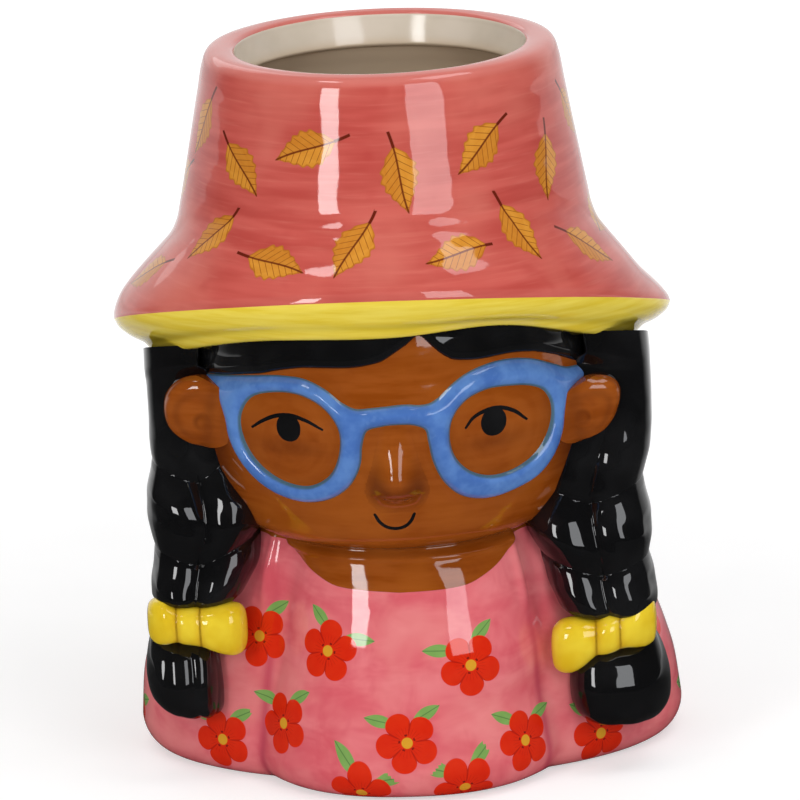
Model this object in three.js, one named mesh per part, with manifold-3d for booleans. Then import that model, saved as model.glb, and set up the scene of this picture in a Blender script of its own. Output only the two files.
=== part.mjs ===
// A glazed earthenware flower pot shaped as a girl's head and shoulders under a bucket hat.
// It is modelled as the clay pieces that are luted together before the pot is fired.
// Millimetres, +Z up. The origin is the middle of the foot, on the table, and the face looks along -Y.
// Left and right are as the viewer sees them: left is -X.

import * as THREE from "three";
import { mergeVertices } from "three/addons/utils/BufferGeometryUtils.js";
import Module from "manifold-3d";

const wasm = await Module();
wasm.setup();

// Clay
const WALL = 4.5;
const JOINT = 0.3; // slip joint between two clay pieces
const COLUMNS = 48; // facets round the pot

// Dress: an oval shell with a bulging front panel. Half sizes at the hem, and how much less they are higher up
const HEM_ROUND = 9;
const HEM_TUCK = 8; // how far the hem rounds in to the foot
const DRESS = { halfWidth: 74.9, front: 47, back: 60, panelHalfWidth: 49, panelFront: 61.5 };
const SKIRT_HEIGHT = 21;
const SKIRT_TAPER = { halfWidth: 1.3, front: 0.7, back: 0.5, panelHalfWidth: 2.5, panelFront: 1.1 };
const WAIST_HEIGHT = 37;
const WAIST_TAPER = { halfWidth: 5.9, front: 3, back: 3, panelHalfWidth: 7, panelFront: 3.9 };
const SHOULDER_HEIGHT = 67;
const CHEST_BELOW_SHOULDER = 10;
const CHEST_TAPER = { halfWidth: 13.9, front: 6, back: 6, panelHalfWidth: 11, panelFront: 10 };
const SHOULDER_TAPER = { halfWidth: 22.9, front: 7, back: 9, panelHalfWidth: 14, panelFront: 13 };
const NECKLINE_DROP = 9; // how far the scooped neckline falls below the shoulders in front
const FLOOR = 6;
const FOOT_RECESS = 2;
const FOOT_WIDTH = 7;
const FLOOR_COVE = 6;

// Neck: the band of clay between the shoulders and the chin
const NECK_SIDE_HEIGHT = 3;
const CHIN_DROP = 3; // the chin hangs this far below the jaw's sides
const CHIN_ROUND = 1.6;

// Head
const HEAD_HALF_WIDTH = 58.5;
const HEAD_FRONT = 61;
const HEAD_BACK = 60;
const HEAD_HEIGHT = 42; // from the jaw's sides to the hat's seat
const HEAD_OVAL_HALF_HEIGHT = 60;
const EYE_LINE_BELOW_SEAT = 9; // the head is widest here

// Hat
const BRIM_HALF_WIDTH = 75.8;
const BRIM_DEPTH_RATIO = 0.885;
const BRIM_TILT = 0.3; // rise towards the face per unit of depth
const BRIM_EDGE_ABOVE_SEAT = 9.5;
const BRIM_LIP_INSET = 11.3; // from the brim's edge to where the yellow edge turns in to meet the hair
const BRIM_INNER_INSET = 15.8;
const BRIM_INNER_RISE = 6;
const CROWN_BASE_HALF_WIDTH = 56.2;
const CROWN_BASE_ABOVE_SEAT = 37;
const CROWN_TILT = 0.2;
const CROWN_DEPTH_RATIO = 0.96;
const CROWN_HEIGHT = 47.5;
const CROWN_TOP_HALF_WIDTH = 47.8;
const RIM_ROUND = 2.2;
const MOUTH_RADIUS = 39.2;
const MOUTH_LIP_HEIGHT = 8;
const LIP_ROUND = 1.8;

// The pot was finished by hand and drifts a little to the side: [height, shift to the right]
const BODY_DRIFT = [
  [0, 1],
  [66, 0],
];
const HAT_DRIFT = [
  [121.5, 0],
  [133, -2.1],
  [149, -1],
  [196, -0.4],
];

// Hair
const HAIR_RELIEF = 1.8;
const HAIRLINE_BELOW_SEAT_PLANE = 8; // over the forehead, below the hat
const PARTING_RISE = 7.5;
const PARTING_ANGLE = 8; // degrees to the right of the nose
const PARTING_SPREAD = 6;
const TEMPLE_ANGLE = 66; // degrees from the nose, where the hair drops behind the ear
const NAPE_ANGLE = 82;
const NAPE_ABOVE_JAW = 1;

// Face
const LENS_HOLE = { offset: 27.5, halfWidth: 13.5, halfHeight: 12.6 };
const LENS_RIM = { offset: 26.6, halfWidth: 18.4, halfHeight: 17.4 };
const LENS_BELOW_EYE_LINE = 2.4;
const LENS_SQUARENESS = 2.2; // exponent of the lens's outline
const GLASSES_RELIEF = 2.2;
const BRIDGE_ABOVE_LENS = 7.3;
const BRIDGE_WIDTH = 4.8;
const TEMPLE_START = { fromHeadSide: 20.5, aboveLens: 11.2, width: 10 };
const TEMPLE_END = { fromHeadSide: 5.5, aboveLens: 9.4, width: 2.6 };
const PUPIL_OFFSET = 27.1;
const PUPIL_HALF_WIDTH = 3.3;
const PUPIL_HALF_HEIGHT = 3.1;
const LASH_HALF_WIDTH = 9.2;
const LASH_RISE = 4.4;
const SLIP_LINE_WIDTH = 1.1;
const SLIP_RELIEF = 0.9;
const SMILE_HALF_WIDTH = 5.2;
const SMILE_DEPTH = 4.2;
const SMILE_BELOW_EYE_LINE = 23.2;
const NOSE_BELOW_EYE_LINE = 11;
const NOSE_HALF_WIDTH = 8;
const NOSE_HALF_HEIGHT = 10;
const NOSE_RELIEF = 4.6;

// Ears
const EAR_INSET = 4.7; // from the head's side to the ear's middle
const EAR_STAND_OUT = 4.5; // from the head's surface forward to the ear's middle
const EAR_SIZE = { x: 8, y: 5.6, z: 9.1 }; // half sizes
const EAR_HOLLOW = 4;

// Braids. The right one is fuller and hangs lower. Insets run from the side of the head or of the dress.
const LEFT_BRAID = {
  tieBelowSeat: 63,
  earRise: 0.3,
  notchBelowSeat: 19,
  plaitPitch: 26,
  jawInset: 6.9,
  jawHalfWidth: 16,
  tieInset: 18.9,
  tieHalfWidth: 12,
  bowInset: 16.8,
  tailInset: 15.1,
  tailHalfWidth: 10.2,
};
const RIGHT_BRAID = {
  tieBelowSeat: 70,
  earRise: -3.1,
  notchBelowSeat: 31,
  plaitPitch: 31,
  jawInset: 7.8,
  jawHalfWidth: 17.8,
  tieInset: 18.9,
  tieHalfWidth: 13,
  bowInset: 19,
  tailInset: 15.9,
  tailHalfWidth: 13.4,
};
const SIDES = [
  { name: "left", sign: -1, ...LEFT_BRAID },
  { name: "right", sign: 1, ...RIGHT_BRAID },
];
const BRAID_ROOT = { aboveSeat: 12, inset: 2.5, behindFace: 57, halfWidth: 12.6, halfDepth: 13 };
const BRAID_EAR = { belowSeat: 16, inset: 4.5, behindFace: 46, halfWidth: 13, halfDepth: 13 };
const BRAID_JAW = { belowSeat: 40, behindFace: 35, halfDepth: 14 };
const BRAID_TIE = { behindDressFront: 16, halfDepth: 9 };
const PLAIT_DEPTH = 0.14;
const PLAIT_SLANT = 0.42;

// Bows and tails
const BOW_BELOW_TIE = 2.6;
const BOW_BEHIND_DRESS_FRONT = 7.5;
const KNOT = { x: 3.1, y: 4.6, z: 4.2 }; // half sizes
const BOW_INNER_LOOP = { x: 6.8, y: 5.4, z: 6.9 };
const BOW_OUTER_LOOP = { x: 4.9, y: 5.6, z: 6.3 };
const BOW_OVERLAP = 0.9; // how far a loop reaches into the knot
const BOW_DROOP = 1.8; // the inner loop hangs this far below the knot, and the outer one stands as far above it
const TAIL_LENGTH = 27.5;
const TAIL_BEHIND_DRESS_FRONT = 16;
const TAIL_HALF_DEPTH = 10;

// Heights that follow from the sizes above
const jawHeight = SHOULDER_HEIGHT + NECK_SIDE_HEIGHT;
const seatHeight = jawHeight + HEAD_HEIGHT;
const eyeLine = seatHeight - EYE_LINE_BELOW_SEAT;
const lensHeight = eyeLine - LENS_BELOW_EYE_LINE;
const crownBaseHeight = seatHeight + CROWN_BASE_ABOVE_SEAT;
const totalHeight = crownBaseHeight + CROWN_HEIGHT;

const material = (name, color, roughness) =>
  new THREE.MeshStandardMaterial({ name, color, roughness, metalness: 0 });
const PINK_HAT = material("hat_pink_glaze", 0xd0666a, 0.15);
const PINK_DRESS = material("dress_pink_glaze", 0xdb7788, 0.15);
const YELLOW = material("yellow_glaze", 0xe3c52e, 0.15);
const BLACK = material("black_glaze", 0x0b0b0c, 0.1);
const SKIN = material("brown_glaze", 0x96490f, 0.15);
const BLUE = material("blue_glaze", 0x3f73c8, 0.15);

const lerp = THREE.MathUtils.lerp;
const smooth = (x, low, high) => THREE.MathUtils.smoothstep(x, Math.min(low, high), Math.max(low, high));

// Geometry helpers

// A closed surface through loops of the same number of points. It closes on itself, or ends in two caps.
function loft(loops, closesOnItself) {
  const count = loops[0].length;
  const points = loops.flat();
  const triangles = [];
  const quad = (a, b, c, d) => triangles.push(a, b, c, a, c, d);
  const bands = closesOnItself ? loops.length : loops.length - 1;
  for (let i = 0; i < bands; i++) {
    const low = i * count;
    const high = ((i + 1) % loops.length) * count;
    for (let j = 0; j < count; j++) {
      const next = (j + 1) % count;
      quad(low + j, low + next, high + next, high + j);
    }
  }
  if (!closesOnItself) {
    const first = points.length;
    points.push(middle(loops[0]), middle(loops.at(-1)));
    const top = (loops.length - 1) * count;
    for (let j = 0; j < count; j++) {
      const next = (j + 1) % count;
      triangles.push(first, next, j);
      triangles.push(top + j, top + next, first + 1);
    }
  }
  const geometry = new THREE.BufferGeometry().setFromPoints(points);
  if (signedVolume(points, triangles) < 0) triangles.reverse();
  return geometry.setIndex(triangles);
}

function middle(loop) {
  const sum = new THREE.Vector3();
  for (const point of loop) sum.add(point);
  return sum.divideScalar(loop.length);
}

function signedVolume(points, triangles) {
  let volume = 0;
  for (let i = 0; i < triangles.length; i += 3) {
    const [a, b, c] = [points[triangles[i]], points[triangles[i + 1]], points[triangles[i + 2]]];
    volume += a.dot(b.clone().cross(c)) / 6;
  }
  return volume;
}

function solid(geometry) {
  const bare = new THREE.BufferGeometry();
  bare.setAttribute("position", geometry.getAttribute("position"));
  bare.setIndex(geometry.index);
  const merged = mergeVertices(bare, 1e-4);
  return new wasm.Manifold(
    new wasm.Mesh({
      numProp: 3,
      vertProperties: new Float32Array(merged.attributes.position.array),
      triVerts: new Uint32Array(merged.index.array),
    }),
  );
}

// The largest body of a cut solid, without slivers that a cut may leave beside it.
function geometryOf(cut) {
  const bodies = cut.decompose().sort((a, b) => b.volume() - a.volume());
  const mesh = bodies[0].getMesh();
  const geometry = new THREE.BufferGeometry();
  geometry.setAttribute("position", new THREE.BufferAttribute(new Float32Array(mesh.vertProperties), 3));
  return geometry.setIndex(new THREE.BufferAttribute(new Uint32Array(mesh.triVerts), 1));
}

const carve = (piece, ...cutters) => cutters.reduce((left, cutter) => left.subtract(cutter), piece);

function ellipsoid(half, centre, grow = 0, widthSegments = 14, heightSegments = 10) {
  const sphere = new THREE.SphereGeometry(1, widthSegments, heightSegments);
  sphere.rotateX(Math.PI / 2);
  sphere.scale(half.x + grow, half.y + grow, half.z + grow);
  return solid(sphere.translate(centre.x, centre.y, centre.z));
}

// The pot's plan is an oval that may be deeper in front than behind. Angle 0 is +X and -90 degrees is the front.
function ovalRadius(angle, halfWidth, front, back) {
  const depth = Math.sin(angle) < 0 ? front : back;
  return 1 / Math.hypot(Math.cos(angle) / halfWidth, Math.sin(angle) / depth);
}

// One loop round the pot: radiusAt and heightAt give each point from its angle.
function ringLoop(radiusAt, heightAt) {
  return Array.from({ length: COLUMNS }, (_, j) => {
    const angle = (2 * Math.PI * j) / COLUMNS;
    const radius = radiusAt(angle);
    const x = radius * Math.cos(angle);
    const y = radius * Math.sin(angle);
    return new THREE.Vector3(x, y, typeof heightAt === "function" ? heightAt(angle, y) : heightAt);
  });
}

const degreesFromNose = (angle) => {
  const turn = THREE.MathUtils.radToDeg(angle) + 90;
  return ((turn + 540) % 360) - 180;
};

// Dress
const chestHeight = SHOULDER_HEIGHT - CHEST_BELOW_SHOULDER;
const NO_TAPER = { halfWidth: 0, front: 0, back: 0, panelHalfWidth: 0, panelFront: 0 };
const DRESS_SECTIONS = [
  { height: HEM_ROUND, taper: NO_TAPER },
  { height: SKIRT_HEIGHT, taper: SKIRT_TAPER },
  { height: WAIST_HEIGHT, taper: WAIST_TAPER },
  { height: chestHeight, taper: CHEST_TAPER },
  { height: SHOULDER_HEIGHT, taper: SHOULDER_TAPER },
  { height: Infinity, taper: SHOULDER_TAPER },
];

function dressSection(height) {
  const above = DRESS_SECTIONS.findIndex((section) => section.height > height);
  const high = DRESS_SECTIONS[Math.max(above, 1)];
  const low = DRESS_SECTIONS[Math.max(above, 1) - 1];
  const share = THREE.MathUtils.clamp((height - low.height) / (high.height - low.height), 0, 1);
  const mix = (key) => DRESS[key] - lerp(low.taper[key], high.taper[key], share);
  const below = Math.max(1 - height / HEM_ROUND, 0);
  const tuck = HEM_TUCK * (1 - Math.sqrt(1 - below * below));
  return {
    halfWidth: mix("halfWidth") - tuck,
    front: mix("front") - tuck,
    back: mix("back") - tuck,
    panelHalfWidth: mix("panelHalfWidth") - tuck,
    panelFront: mix("panelFront") - tuck,
  };
}

function dressRadius(angle, height) {
  const s = dressSection(height);
  const shell = ovalRadius(angle, s.halfWidth, s.front, s.back);
  const panel = Math.sin(angle) < 0 ? ovalRadius(angle, s.panelHalfWidth, s.panelFront, s.panelFront) : 0;
  return Math.max(shell, panel);
}

const scoop = (angle) => smooth(-Math.sin(angle), 0.7, 0.94);
const neckline = (angle) => SHOULDER_HEIGHT - NECKLINE_DROP * scoop(angle);
const jawline = (angle) => jawHeight - CHIN_DROP * smooth(-Math.sin(angle), 0.4, 1);

const DRESS_ROWS = [0, HEM_ROUND * 0.15, HEM_ROUND * 0.45, HEM_ROUND, SKIRT_HEIGHT, WAIST_HEIGHT, chestHeight];
const dressTop = (grow) => ringLoop((angle) => dressRadius(angle, neckline(angle)) + grow, neckline);
const dressOutside = (grow) => [
  ...DRESS_ROWS.map((height) => ringLoop((angle) => dressRadius(angle, height) + grow, height)),
  dressTop(grow),
];

function dressGeometry() {
  const inside = (height, inset) => ringLoop((angle) => dressRadius(angle, height) - inset, height);
  return loft([
    ringLoop((angle) => dressRadius(angle, 0) - FOOT_WIDTH, FOOT_RECESS),
    ringLoop((angle) => dressRadius(angle, 0) - FOOT_WIDTH, 0),
    ...dressOutside(0),
    dressTop(-WALL),
    ...DRESS_ROWS.slice(4).reverse().map((height) => inside(height, WALL)),
    inside(FLOOR + FLOOR_COVE, WALL),
    inside(FLOOR, WALL + FLOOR_COVE),
  ]);
}

// Neck
function neckRadius(angle, share) {
  const low = dressRadius(angle, neckline(angle));
  const high = headRadius(angle, jawline(angle)) - CHIN_ROUND;
  return lerp(low, high, share);
}

const neckRow = (share, offset) =>
  ringLoop(
    (angle) => neckRadius(angle, share) + offset,
    (angle) => lerp(neckline(angle) + JOINT, jawline(angle), share),
  );
const NECK_ROWS = [0, 1];
const neckOutside = (grow) => NECK_ROWS.map((share) => neckRow(share, grow));
const neckGeometry = () =>
  loft([...neckOutside(0), ...NECK_ROWS.toReversed().map((share) => neckRow(share, -WALL))], true);

// Head
function headHalfSizes(height) {
  const rise = (height - eyeLine) / HEAD_OVAL_HALF_HEIGHT;
  const share = Math.sqrt(1 - Math.min(rise * rise, 0.9));
  return { halfWidth: HEAD_HALF_WIDTH * share, front: HEAD_FRONT * share, back: HEAD_BACK * share };
}

function headRadius(angle, height) {
  const { halfWidth, front, back } = headHalfSizes(height);
  return ovalRadius(angle, halfWidth, front, back);
}

// The hat sits on a sloping plane. This is its height at a distance over the head's surface.
function seatAt(angle, offset = 0) {
  let height = seatHeight;
  for (let step = 0; step < 6; step++) {
    height = seatHeight - BRIM_TILT * (headRadius(angle, height) + offset) * Math.sin(angle);
  }
  return height;
}

const HEAD_ROWS = [0.06, 0.3, 0.6, 1];
function headRow(share, offset) {
  const heightAt = (angle) => lerp(jawline(angle) + JOINT, seatAt(angle, share === 1 ? offset : 0), share);
  return ringLoop((angle) => headRadius(angle, heightAt(angle)) + offset, heightAt);
}
const headOutside = (grow) => [headRow(0, grow - CHIN_ROUND), ...HEAD_ROWS.map((share) => headRow(share, grow))];

function headGeometry() {
  const inside = HEAD_ROWS.toReversed().map((share) => headRow(share, -WALL));
  return loft([...headOutside(0), ...inside, headRow(0, -WALL - CHIN_ROUND)], true);
}

// Hair: a relief over the head, from the hat down to the hairline and the nape
function hairline(angle) {
  const turn = degreesFromNose(angle);
  const away = Math.abs(turn);
  const forehead = seatAt(angle) - HAIRLINE_BELOW_SEAT_PLANE;
  const parting = PARTING_RISE * Math.exp(-(((turn - PARTING_ANGLE) / PARTING_SPREAD) ** 2));
  const nape = jawHeight + NAPE_ABOVE_JAW;
  return lerp(forehead + parting, nape, smooth(away, TEMPLE_ANGLE, NAPE_ANGLE));
}

function hairGeometry(grow = 0) {
  const rows = [0, 0.3, 0.65, 1];
  const row = (share, offset) => {
    const top = (angle) => seatAt(angle, offset) + grow;
    const heightAt = (angle) => lerp(hairline(angle) - grow, top(angle), share);
    return ringLoop((angle) => headRadius(angle, heightAt(angle)) + offset, heightAt);
  };
  const outer = rows.map((share) => row(share, HAIR_RELIEF + grow));
  return loft([...outer, row(1, -WALL / 2), row(0, -WALL / 2)], true);
}

// Hat: plan ovals whose depth and tilt change from the brim to the crown
const brimShare = (halfWidth) =>
  THREE.MathUtils.clamp((halfWidth - CROWN_BASE_HALF_WIDTH) / (BRIM_HALF_WIDTH - CROWN_BASE_HALF_WIDTH), 0, 1);

function hatLoop(halfWidth, height, tilt = lerp(CROWN_TILT, BRIM_TILT, brimShare(halfWidth))) {
  const depth = halfWidth * lerp(CROWN_DEPTH_RATIO, BRIM_DEPTH_RATIO, brimShare(halfWidth));
  return ringLoop(
    (angle) => ovalRadius(angle, halfWidth, depth, depth),
    (angle, y) => height - tilt * y,
  );
}

// The brim's top, from its edge up to the foot of the crown: widths and rises as shares of the whole.
const BRIM_PROFILE = [
  [1, 0],
  [0.95, 0.1],
  [0.63, 0.42],
  [0.25, 0.74],
  [0.08, 0.87],
  [0, 1],
];
const brimEdgeHeight = seatHeight + BRIM_EDGE_ABOVE_SEAT;
const brimInnerHeight = brimEdgeHeight + BRIM_INNER_RISE;
const brimInnerHalfWidth = BRIM_HALF_WIDTH - BRIM_INNER_INSET;

function brimGeometry() {
  const outer = BRIM_PROFILE.map(([width, rise]) =>
    hatLoop(
      lerp(CROWN_BASE_HALF_WIDTH, BRIM_HALF_WIDTH, width),
      lerp(brimEdgeHeight, crownBaseHeight, rise) - JOINT * (rise === 1),
    ),
  );
  const crownInner = CROWN_BASE_HALF_WIDTH - WALL;
  return loft(
    [
      ...outer,
      hatLoop(crownInner, crownBaseHeight - JOINT, CROWN_TILT),
      hatLoop(lerp(crownInner, brimInnerHalfWidth, 0.7), lerp(crownBaseHeight, brimInnerHeight, 0.55)),
      hatLoop(brimInnerHalfWidth, brimInnerHeight, BRIM_TILT),
    ],
    true,
  );
}

// The yellow edge under the brim, down to the head and in to the head's inner wall
function brimEdgeGeometry() {
  const seatLoop = (offset) =>
    ringLoop(
      (angle) => headRadius(angle, seatAt(angle, offset)) + offset,
      (angle) => seatAt(angle, offset) + JOINT,
    );
  const edge = (share, drop) =>
    hatLoop(BRIM_HALF_WIDTH - BRIM_LIP_INSET * (1 - share), brimEdgeHeight - JOINT - drop, BRIM_TILT);
  return loft(
    [
      seatLoop(-WALL),
      seatLoop(HAIR_RELIEF),
      edge(0, BRIM_EDGE_ABOVE_SEAT - 2 * JOINT),
      edge(0.34, BRIM_EDGE_ABOVE_SEAT * 0.77),
      edge(0.74, BRIM_EDGE_ABOVE_SEAT * 0.45),
      edge(0.96, BRIM_EDGE_ABOVE_SEAT * 0.17),
      edge(1, 0),
      hatLoop(brimInnerHalfWidth, brimInnerHeight - JOINT, BRIM_TILT),
    ],
    true,
  );
}

function crownGeometry() {
  const side = (share) =>
    hatLoop(
      lerp(CROWN_BASE_HALF_WIDTH, CROWN_TOP_HALF_WIDTH, share),
      lerp(crownBaseHeight, totalHeight - RIM_ROUND, share),
      CROWN_TILT * (1 - share),
    );
  const wall = (share) =>
    hatLoop(
      lerp(CROWN_BASE_HALF_WIDTH, CROWN_TOP_HALF_WIDTH, share) - WALL,
      lerp(crownBaseHeight, totalHeight - MOUTH_LIP_HEIGHT - WALL, share),
      CROWN_TILT * (1 - share),
    );
  const flat = (halfWidth, height) => hatLoop(halfWidth, height, 0);
  const mouth = (radius, height) => ringLoop(() => radius, height);
  return loft(
    [
      side(0),
      side(0.5),
      side(1),
      flat(CROWN_TOP_HALF_WIDTH - RIM_ROUND * 0.35, totalHeight - RIM_ROUND * 0.3),
      flat(CROWN_TOP_HALF_WIDTH - RIM_ROUND, totalHeight),
      mouth(MOUTH_RADIUS + LIP_ROUND, totalHeight),
      mouth(MOUTH_RADIUS, totalHeight - LIP_ROUND),
      mouth(MOUTH_RADIUS, totalHeight - MOUTH_LIP_HEIGHT),
      wall(1),
      wall(0),
    ],
    true,
  );
}

// Relief on the face: a point over the head's surface, from its place in the front view
function facePoint(x, z, lift) {
  const { halfWidth, front } = headHalfSizes(z);
  const y = -front * Math.sqrt(Math.max(1 - (x / halfWidth) ** 2, 0.02));
  const normal = new THREE.Vector3(x / halfWidth ** 2, y / front ** 2, 0).normalize();
  return new THREE.Vector3(x, y, z).addScaledVector(normal, lift);
}

// A rounded coil of clay on the face, between two edges given as lists of [x, z].
const COIL_SECTION = [
  [0, 0],
  [0.08, 0.6],
  [0.3, 1],
  [0.7, 1],
  [0.92, 0.6],
  [1, 0],
];

function faceCoil(edges, relief, closed, grow = 0) {
  const back = grow ? -WALL / 2 : JOINT;
  const loops = edges[0].map(([xa, za], i) => {
    const [xb, zb] = edges[1][i];
    const spread = grow / Math.hypot(xb - xa, zb - za);
    return COIL_SECTION.map(([across, up]) => {
      // A grown coil has upright sides, so that it clears the foot of the coil it is grown from.
      const share = lerp(-spread, 1 + spread, grow && up < 1 ? Math.round(across) : across);
      return facePoint(lerp(xa, xb, share), lerp(za, zb, share), up ? JOINT + relief * up + grow : back);
    });
  });
  return loft(loops, closed);
}

// The two edges of a band along a path
function bandEdges(path, widthAt) {
  const last = path.length - 1;
  const edge = (side) =>
    path.map(([x, z], i) => {
      const [before, after] = [path[Math.max(i - 1, 0)], path[Math.min(i + 1, last)]];
      const along = new THREE.Vector2(after[0] - before[0], after[1] - before[1]).normalize();
      const half = (side * widthAt(i / last)) / 2;
      return [x - along.y * half, z + along.x * half];
    });
  return [edge(-1), edge(1)];
}

// A low mound on the face: its outline is scaled towards the middle while it rises.
function faceMound(outline, centre, relief) {
  const rows = [0.15, 0.6, 1];
  const ring = (share, lift) =>
    outline.map(([x, z]) => facePoint(lerp(centre[0], x, share), lerp(centre[1], z, share), lift));
  const back = rows.map((share) => ring(share, JOINT));
  const front = [0.92, 0.7, 0.4, 0.12].map((share) =>
    ring(share, JOINT + relief * Math.sqrt(1 - share ** 2) ** 1.2),
  );
  return loft([...back, ...front], false);
}

const ellipsePoints = (x, z, halfWidth, halfHeight, count, exponent = 2) =>
  Array.from({ length: count }, (_, i) => {
    const turn = (2 * Math.PI * i) / count;
    const bend = (value) => Math.sign(value) * Math.abs(value) ** (2 / exponent);
    return [x + halfWidth * bend(Math.cos(turn)), z + halfHeight * bend(Math.sin(turn))];
  });

const arcPoints = (x, z, halfWidth, rise, count) =>
  Array.from({ length: count }, (_, i) => {
    const t = (2 * i) / (count - 1) - 1;
    return [x + halfWidth * t, z + rise * (1 - t * t)];
  });

const lensOutline = (sign, { offset, halfWidth, halfHeight }) =>
  ellipsePoints(sign * offset, lensHeight, halfWidth, halfHeight, 28, LENS_SQUARENESS);
const lensRim = (sign, grow) =>
  faceCoil([lensOutline(sign, LENS_RIM), lensOutline(sign, LENS_HOLE)], GLASSES_RELIEF, true, grow);

function bridgeGeometry() {
  const reach = LENS_RIM.offset - LENS_RIM.halfWidth + 2;
  const path = arcPoints(0, lensHeight + BRIDGE_ABOVE_LENS - 1, reach, 1, 9);
  return faceCoil(bandEdges(path, () => BRIDGE_WIDTH), GLASSES_RELIEF, false);
}

function templeGeometry(sign, grow = 0) {
  const mix = (share, key) => lerp(TEMPLE_START[key], TEMPLE_END[key], share);
  const pastEnds = grow / (TEMPLE_START.fromHeadSide - TEMPLE_END.fromHeadSide);
  const path = Array.from({ length: 6 }, (_, i) => {
    const share = lerp(-pastEnds, 1 + pastEnds, i / 5);
    return [sign * (HEAD_HALF_WIDTH - mix(share, "fromHeadSide")), lensHeight + mix(share, "aboveLens")];
  });
  const edges = bandEdges(path, (share) => mix(1 - (1 - share) ** 1.6, "width"));
  return faceCoil(edges, GLASSES_RELIEF, false, grow);
}

function noseGeometry() {
  const middleHeight = eyeLine - NOSE_BELOW_EYE_LINE;
  // Wide at the nostrils and narrow towards the glasses' bridge.
  const outline = ellipsePoints(0, middleHeight, NOSE_HALF_WIDTH, NOSE_HALF_HEIGHT, 24).map(([x, z]) => [
    x * (1 - (0.32 * (z - middleHeight)) / NOSE_HALF_HEIGHT),
    z,
  ]);
  return faceMound(outline, [0, middleHeight - NOSE_HALF_HEIGHT * 0.25], NOSE_RELIEF);
}

// Ears
function earCentre(side) {
  const offset = HEAD_HALF_WIDTH - EAR_INSET;
  const forward = HEAD_FRONT * Math.sqrt(1 - (offset / HEAD_HALF_WIDTH) ** 2) + EAR_STAND_OUT;
  return new THREE.Vector3(side.sign * offset, -forward, eyeLine + side.earRise);
}
const ear = (side, grow = 0) => ellipsoid(EAR_SIZE, earCentre(side), grow);
const earHollow = (side) =>
  ellipsoid({ x: EAR_HOLLOW, y: 2.4, z: EAR_HOLLOW * 1.2 }, earCentre(side).add(new THREE.Vector3(0, -EAR_SIZE.y, 0)));

// Braids: a path with oval sections, with slanting plaits that meet down the middle
const tieHeight = (side) => seatHeight - side.tieBelowSeat;

function braidGeometry(side, grow = 0) {
  const station = (size, height, inset) => ({
    ...size,
    x: side.sign * (HEAD_HALF_WIDTH - inset),
    y: size.behindFace - HEAD_FRONT,
    z: height,
  });
  const jaw = { ...BRAID_JAW, halfWidth: side.jawHalfWidth };
  const tie = {
    halfWidth: side.tieHalfWidth,
    halfDepth: BRAID_TIE.halfDepth,
    x: side.sign * (DRESS.halfWidth - side.tieInset),
    y: BRAID_TIE.behindDressFront - DRESS.front,
    z: tieHeight(side),
  };
  const stations = [
    station(BRAID_ROOT, seatHeight + BRAID_ROOT.aboveSeat, BRAID_ROOT.inset),
    station(BRAID_EAR, seatHeight - BRAID_EAR.belowSeat, BRAID_EAR.inset),
    station(jaw, seatHeight - BRAID_JAW.belowSeat, side.jawInset),
    tie,
  ];
  const curve = (toPoint) => new THREE.CatmullRomCurve3(stations.map(toPoint), false, "catmullrom");
  const place = curve((s) => new THREE.Vector3(s.x, s.y, s.z));
  const size = curve((s) => new THREE.Vector3(s.halfWidth, s.halfDepth, 0));
  const rings = 20;
  const loops = Array.from({ length: rings + 1 }, (_, i) => {
    const centre = place.getPoint(i / rings);
    const half = size.getPoint(i / rings);
    return Array.from({ length: 16 }, (_, j) => {
      const angle = (2 * Math.PI * j) / 16;
      const turns = (seatHeight - side.notchBelowSeat - centre.z) / side.plaitPitch;
      const wave = Math.abs(Math.sin(Math.PI * (turns - PLAIT_SLANT * Math.abs(Math.sin(angle)))));
      const swell = 1 - PLAIT_DEPTH * (1 - wave ** 0.7);
      return new THREE.Vector3(
        centre.x + (half.x * swell + grow) * Math.cos(angle),
        centre.y + (half.y * swell + grow) * Math.sin(angle),
        centre.z,
      );
    });
  });
  return loft(loops, false);
}

// Bows: a knot between an inner and an outer loop, on the braid's tie
const knotCentre = (side) =>
  new THREE.Vector3(
    side.sign * (DRESS.halfWidth - side.bowInset),
    BOW_BEHIND_DRESS_FRONT - DRESS.front,
    tieHeight(side) - BOW_BELOW_TIE,
  );
const knot = (side, grow) => ellipsoid(KNOT, knotCentre(side), grow, 12, 8);
const innerLoop = (side, grow) => {
  const reach = KNOT.x + BOW_INNER_LOOP.x - BOW_OVERLAP;
  const centre = knotCentre(side).add(new THREE.Vector3(-side.sign * reach, 0.6, -BOW_DROOP));
  return ellipsoid(BOW_INNER_LOOP, centre, grow);
};
const outerLoop = (side, grow) => {
  const reach = KNOT.x + BOW_OUTER_LOOP.x - BOW_OVERLAP;
  const centre = knotCentre(side).add(new THREE.Vector3(side.sign * reach, 3.4, BOW_DROOP));
  return ellipsoid(BOW_OUTER_LOOP, centre, grow);
};

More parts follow.
